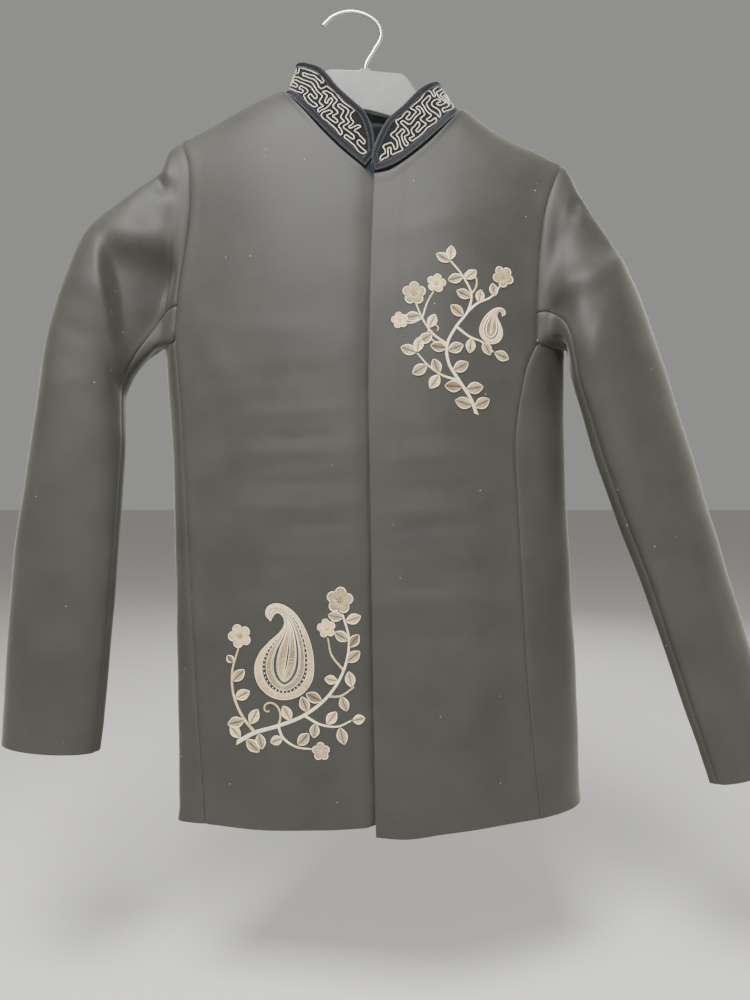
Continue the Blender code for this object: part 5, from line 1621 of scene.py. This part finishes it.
def leaf(spray, colour, base, heading, length, width):
    # a pointed leaf in satin stitch: threads run from its rib out and forward to its edge, which a thread goes round
    way = math.radians(heading)
    ahead, side = np.array([math.cos(way), math.sin(way)]), np.array([-math.sin(way), math.cos(way)])
    base = np.array(base, float) + ahead * leafShape["start"]
    lead = leafShape["slant"] * width
    count = int(length / (stitching["pitch"] * 1000))
    for sign in (1, -1):
        for k in range(count):
            t = (k + 0.5) / count
            reach = width / 2 * math.sin(math.pi * t) ** leafShape["fullness"]
            back = min(lead * math.sin(math.pi * t), length * t)
            ribPoint = base + ahead * (length * t - back)
            edge = base + ahead * length * t + side * sign * reach
            sew(spray, colour, between(ribPoint + side * sign * leafShape["ribGap"], edge))
        border = []
        for k in range(11):
            t = k / 10
            reach = width / 2 * math.sin(math.pi * t) ** leafShape["fullness"] + leafShape["borderOut"]
            border.append(base + ahead * length * t + side * sign * reach)
        for out in leafShape["borders"]:
            shifted = [point + side * sign * out * math.sin(math.pi * k / 10) for k, point in enumerate(border)]
            sew(spray, "ivory", shifted, crown=stitching["coverCrown"])
    sew(spray, "dark", between(base + ahead * length * 0.10, base + ahead * length * 0.80, 8), crown=0.00045, shade=0.2)


# A blossom's petals, in parts of its radius: how far round each reaches, how its tip rounds, and where it starts
petalShape = {"count": 5, "reach": 0.92, "round": 0.26, "heart": 0.26, "fill": 0.78, "border": 1.03, "outer": 1.05}


def blossom(spray, colour, centre, radius, turn):
    # a round blossom: rounded petals of threads that run out from its heart, and knots in the middle
    centre = np.array(centre, float)
    shape = petalShape
    for p in range(shape["count"]):
        middle = turn + 2 * math.pi * p / shape["count"]
        reach = math.pi / shape["count"] * shape["reach"]
        count = max(int(radius * 2 * reach * shape["fill"] / (stitching["pitch"] * 1000)), 4)
        for k in range(count + 1):
            across = -1 + 2 * k / count
            way = middle + reach * across
            far = radius * (1.0 - shape["round"] * across * across)
            heading = np.array([math.cos(way), math.sin(way)])
            sew(spray, colour, between(centre + heading * radius * shape["heart"], centre + heading * far))
        border = []
        for k in range(9):
            across = -1 + k / 4
            way = middle + reach * across
            far = radius * (shape["border"] - shape["round"] * across * across)
            border.append(centre + far * np.array([math.cos(way), math.sin(way)]))
        sew(spray, "ivory", border, crown=stitching["coverCrown"])
        sew(spray, "ivory", [centre + (point - centre) * shape["outer"] for point in border], crown=0.00016)
    for ring, reach in ((1, 0.0), (6, 0.17)):
        for k in range(ring):
            way = 2 * math.pi * k / ring + turn
            knot(spray, "gold", centre + radius * reach * np.array([math.cos(way), math.sin(way)]))


def knot(spray, colour, spot):
    laidKnots[colour].append(onCloth(spray, float(spot[0]), float(spot[1]), stitching["knotRadius"] * 0.7))


# A tendril: its steps and turns, how its stride shrinks in parts of its size, and how the winding tightens
curlShape = {"steps": 14, "turns": 1.15, "stride": 0.36, "shrink": 0.82, "windFrom": 0.35, "windMore": 1.1}


def curl(spray, colour, start, heading, size, way, width):
    # a tendril that winds inwards
    shape, points = curlShape, []
    angle, spot = math.radians(heading), np.array(start, float)
    steps = shape["steps"]
    for k in range(steps + 1):
        points.append(tuple(spot))
        step = size * shape["stride"] * (1 - shape["shrink"] * k / steps)
        wind = shape["windFrom"] + shape["windMore"] * k / steps
        angle += way * shape["turns"] * 2 * math.pi / steps * wind
        spot = spot + np.array([math.cos(angle), math.sin(angle)]) * step
    stem(spray, colour, points, width=width, taper=0.5)


# The outline of a paisley from its curled tip, down one side, round its belly and up to the tip, and its middle line
paisleyShape = table(
    "x y",
    (0.42, 0.62), (0.54, 0.74), (0.52, 0.90), (0.36, 1.00), (0.14, 0.98), (-0.10, 0.84), (-0.34, 0.56), (-0.52, 0.22),
    (-0.62, -0.14), (-0.62, -0.48), (-0.44, -0.79), (-0.12, -0.96), (0.22, -0.94), (0.50, -0.74), (0.62, -0.42),
    (0.56, -0.10), (0.38, 0.18), (0.20, 0.40), (0.12, 0.58), (0.15, 0.73), (0.27, 0.82), (0.37, 0.76), (0.42, 0.62),
)
paisleySpine = table("x y", (-0.02, -0.42), (-0.05, -0.10), (-0.04, 0.24), (0.00, 0.56), (0.14, 0.84), (0.36, 0.90),
                     (0.45, 0.72))


# The way round a paisley by its height, the threads that its stitches lead by, and the knots' spacing in millimetres
paisleySewing = {"girth": 2.9, "lead": 2, "knotPitch": 2.2}


def paisleyRing(centre, height, turn, share, count, flip):
    # points round the shape, drawn in towards the line down its middle
    rows, spine = paisleyShape, paisleySpine
    keys, spineKeys = np.arange(len(rows["x"])), np.linspace(0, 1, len(spine["x"]))
    ring = []
    for k in range(count):
        part = k / (count - 1)
        place = np.array([cubic(keys, rows["x"], part * keys[-1]), cubic(keys, rows["y"], part * keys[-1])])
        up = abs(1 - 2 * part) ** 1.3
        middle = np.array([cubic(spineKeys, spine["x"], up), cubic(spineKeys, spine["y"], up)])
        ring.append((middle + (place - middle) * share) * (flip, 1))
    c, s = math.cos(math.radians(turn)), math.sin(math.radians(turn))
    return np.array(centre) + (np.array(ring) @ np.array([[c, s], [-s, c]])) * height / 2


def ringBand(spray, colour, outer, inner):
    # satin stitch that fills the band between two rings, its threads leading a little ahead
    count = len(outer)
    for k in range(count):
        sew(spray, colour, between(outer[k], inner[min(k + paisleySewing["lead"], count - 1)]))
    for ring in (outer, inner):
        sew(spray, "ivory", list(ring[::3]) + [ring[-1]], crown=0.0, shade=0.6)


def paisley(spray, centre, height, turn, bands, flip):
    # nested bands, each a colour with its outer and inner share of the outline
    around = paisleySewing["girth"] * height
    for colour, outer, inner in bands:
        count = int(around * outer / (stitching["pitch"] * 1000))
        if colour == "knots":
            count = int(around * outer / paisleySewing["knotPitch"])
            for spot in paisleyRing(centre, height, turn, (outer + inner) / 2, count, flip):
                knot(spray, "ivory", spot)
            continue
        ringBand(spray, colour, paisleyRing(centre, height, turn, outer, count, flip),
                 paisleyRing(centre, height, turn, inner, count, flip))


def sewLeaves(spray, rows):
    for colour, x, y, heading, length, width in rowsOf(rows):
        leaf(spray, colour, (x, y), heading, length, width)


def sewBlossoms(spray, rows):
    for colour, x, y, radius, turn in rowsOf(rows):
        blossom(spray, colour, (x, y), radius, turn)


# The chest spray, in millimetres from its middle: an S-shaped stem with paired leaves, blossoms and a small paisley
chest = sprays["chest"]
stem(chest, "ivory", [(16, -62), (11, -50), (2, -37), (-6, -24), (-7, -10), (0, 4), (9, 16), (12, 30), (5, 44),
                      (-4, 55)], width=2.5)
stem(chest, "ivory", [(2, -37), (-10, -34), (-21, -27), (-30, -17)], width=1.7)
stem(chest, "ivory", [(-7, -10), (-18, -2), (-26, 10), (-31, 22)], width=1.7)
stem(chest, "ivory", [(9, 16), (17, 23), (28, 29), (36, 39)], width=1.8)
stem(chest, "ivory", [(-26, 10), (-34, 6), (-40, 7)], width=1.4)
stem(chest, "ivory", [(0, 4), (10, -3), (21, -7), (30, -14)], width=1.8)
chestLeaves = table(
    "colour x y heading length width",
    ("beige", 13, -56, 165, 13.5, 7.6), ("beige", 14, -57, 28, 13.0, 7.2),
    ("brown", 5, -42, 178, 13.0, 7.4), ("beige", 7, -44, 12, 13.5, 7.6),
    ("beige", -3, -30, 28, 13.0, 7.2), ("gold", -13, -33, 236, 12.0, 6.8),
    ("beige", -13, -33, 112, 11.5, 6.4), ("beige", -22, -26, 212, 12.5, 7.0),
    ("gold", -30, -17, 80, 11.5, 6.2), ("beige", -30, -17, 160, 12.0, 6.8),
    ("beige", -7, -15, 22, 12.5, 7.0), ("brown", -7, -13, 172, 12.0, 6.6),
    ("beige", -18, -2, 214, 12.0, 6.6), ("gold", -21, 2, 66, 11.0, 6.0),
    ("beige", -27, 12, 190, 11.5, 6.4),
    ("gold", 12, -4, 262, 11.0, 6.2), ("beige", 21, -6, 300, 11.0, 6.2), ("beige", 30, -14, 340, 12.0, 6.6),
    ("beige", 6, 12, 140, 12.0, 6.6), ("gold", 18, 23, 82, 10.0, 5.6),
    ("beige", 12, 27, 158, 11.5, 6.4), ("beige", 31, 29, 100, 10.0, 5.6),
    ("beige", 6, 43, 196, 11.5, 6.4), ("gold", 7, 41, 40, 11.0, 6.0),
    ("beige", -4, 54, 150, 11.5, 6.2), ("gold", -4, 55, 86, 11.0, 6.0),
)
sewLeaves(chest, chestLeaves)
sewBlossoms(chest, table("colour x y radius turn", ("beige", -32, 29, 8.2, 0.3), ("beige", 38, 46, 7.8, 0.9),
                         ("gold", -15, 37, 6.6, 0.1), ("gold", -43, 8, 5.8, 0.5)))
curl(chest, "gold", (-7, -10), 190, 11, way=-1, width=1.3)
curl(chest, "gold", (12, 30), 40, 10, way=1, width=1.3)
stem(chest, "ivory", [(-26, 10), (-22, 22), (-17, 31)], width=1.2)
paisley(chest, (29, 7), 30, -12, (("gold", 1.0, 0.70), ("dark", 0.64, 0.48), ("beige", 0.44, 0.06)), flip=1)

# The hip spray: a large banded paisley on a fan of stems
hip = sprays["hip"]
stem(hip, "ivory", [(-44, -60), (-30, -52), (-12, -46), (8, -37), (26, -22), (38, -2), (42, 20), (37, 40)], width=3.0,
     taper=0.6)
stem(hip, "gold", [(-30, -52), (-40, -40), (-47, -24), (-48, -6), (-43, 12)], width=2.2)
stem(hip, "ivory", [(8, -37), (20, -43), (33, -44), (44, -39)], width=1.9)
stem(hip, "gold", [(26, -22), (36, -21), (46, -14)], width=1.7)
stem(hip, "ivory", [(-12, -46), (-8, -55), (2, -61), (14, -62)], width=1.9)
stem(hip, "gold", [(38, -2), (29, 9), (26, 22)], width=1.6)
hipLeaves = table(
    "colour x y heading length width",
    ("gold", -41, -57, 132, 11.5, 6.4), ("beige", -37, -57, 318, 13.0, 7.2), ("beige", -27, -52, 283, 11.5, 6.6),
    ("beige", -38, -43, 196, 13.0, 7.2), ("gold", -34, -46, 62, 12.5, 6.8), ("gold", -46, -27, 28, 12.5, 6.8),
    ("beige", -48, -14, 44, 12.5, 6.6), ("brown", -47, 0, 130, 6.6, 4.6),
    ("gold", -8, -55, 200, 9.5, 5.8), ("beige", 3, -60, 48, 12.0, 6.6),
    ("gold", -2, -42, 118, 12.0, 6.6), ("beige", 11, -35, 112, 12.0, 6.6), ("beige", 17, -42, 262, 10.5, 6.0),
    ("gold", 25, -43, 52, 11.5, 6.4), ("beige", 35, -44, 286, 12.5, 6.8), ("gold", 44, -39, 10, 9.0, 5.8),
    ("brown", 22, -26, 156, 12.5, 6.8), ("beige", 36, -21, 292, 11.0, 6.0), ("gold", 44, -15, 100, 11.5, 6.2),
    ("gold", 34, -10, 172, 9.5, 5.6), ("beige", 40, 4, 40, 12.0, 6.6),
    ("brown", 42, 15, 54, 11.0, 6.2), ("beige", 42, 20, 150, 11.5, 6.4), ("gold", 39, 34, 20, 11.5, 6.4),
    ("beige", 38, 37, 172, 11.0, 6.2),
)
sewLeaves(hip, hipLeaves)
sewBlossoms(hip, table("colour x y radius turn", ("beige", 35, 50, 9.2, 0.2), ("gold", -42, 21, 8.4, 0.7),
                       ("beige", 21, -63, 6.2, 0.4), ("gold", 25, 29, 6.4, 0.5)))
curl(hip, "gold", (-12, -46), 60, 11, way=1, width=1.5)
paisley(hip, (-6, 9), 72, -8, (("gold", 1.0, 0.78), ("knots", 0.74, 0.70), ("beige", 0.65, 0.48),
                               ("dark", 0.44, 0.32), ("gold", 0.28, 0.04)), flip=-1)

for colour, lines in laidThreads.items():
    if lines:
        grown("embroidery_" + colour, lines, "threads",
              {"Radius": stitching["radius"], "Sides": 5, "Material": threadMaterials[colour]},
              {"shade": laidShades[colour]})
for colour, spots in laidKnots.items():
    if spots:
        grown("knots_" + colour, [[spot] for spot in spots], "knots",
              {"Radius": stitching["knotRadius"], "Seed": 5, "Material": threadMaterials[colour]},
              {"shade": [0.5] * len(spots)})


print("coat: camera, floor and light")
view = {
    "place": (0.0173, -0.619, -0.401),
    "focal": 751.0,  # in the 750 x 1000 frame's pixels
    "floor": -0.80, "floorSize": 60.0, "floorColour": "#dcdad5",
    "room": "#e9e9e6", "roomLight": 0.36,
}
camera = bpy.data.cameras.new("camera")
camera.sensor_width = 36.0
camera.lens = camera.sensor_width * view["focal"] / 1000
cameraObject = placed("camera", camera)
cameraObject.location = view["place"]
cameraObject.rotation_euler = (math.pi / 2, 0.0, 0.0)
bpy.context.scene.camera = cameraObject

floorMesh = bpy.data.meshes.new("floor")
half = view["floorSize"] / 2
floorMesh.from_pydata([(x, y, view["floor"]) for x, y in ((-half, -half), (half, -half), (half, half), (-half, half))],
                      [], [(0, 1, 2, 3)])
floor = placed("floor", floorMesh)
paper, _, _ = newMaterial("paleStudioFloor", {"Base Color": hexColour(view["floorColour"]), "Roughness": 0.9})
floorMesh.materials.append(paper)

lights = table(
    "name x y z aimX aimY aimZ size power",
    ("keyAbove", -0.17, -0.74, 0.74, 0.0, 0.0, -0.15, 0.6, 36.0),
    ("fillFront", 0.02, -1.40, -0.44, 0.02, 0.0, -0.40, 0.8, 6.0),
    ("fillLeft", -1.30, -1.10, 0.00, -0.10, 0.0, -0.40, 1.2, 9.0),
    ("fillRight", 1.20, -1.00, -0.20, 0.20, 0.0, -0.40, 0.9, 7.5),
    ("rimBehind", 0.50, 1.30, 0.60, 0.0, 0.0, -0.30, 1.2, 16.0),
)
for name, x, y, z, aimX, aimY, aimZ, size, power in rowsOf(lights):
    lamp = bpy.data.lights.new(name, "AREA")
    lamp.energy, lamp.size = power, size
    lampObject = placed(name, lamp)
    place, aim = Vector((x, y, z)), Vector((aimX, aimY, aimZ))
    lampObject.location = place
    lampObject.rotation_euler = (aim - place).to_track_quat("-Z", "Y").to_euler()

world = bpy.data.worlds.new("softRoom")
world.use_nodes = True
background = world.node_tree.nodes["Background"]
background.inputs["Color"].default_value = hexColour(view["room"])
background.inputs["Strength"].default_value = view["roomLight"]
bpy.context.scene.world = world
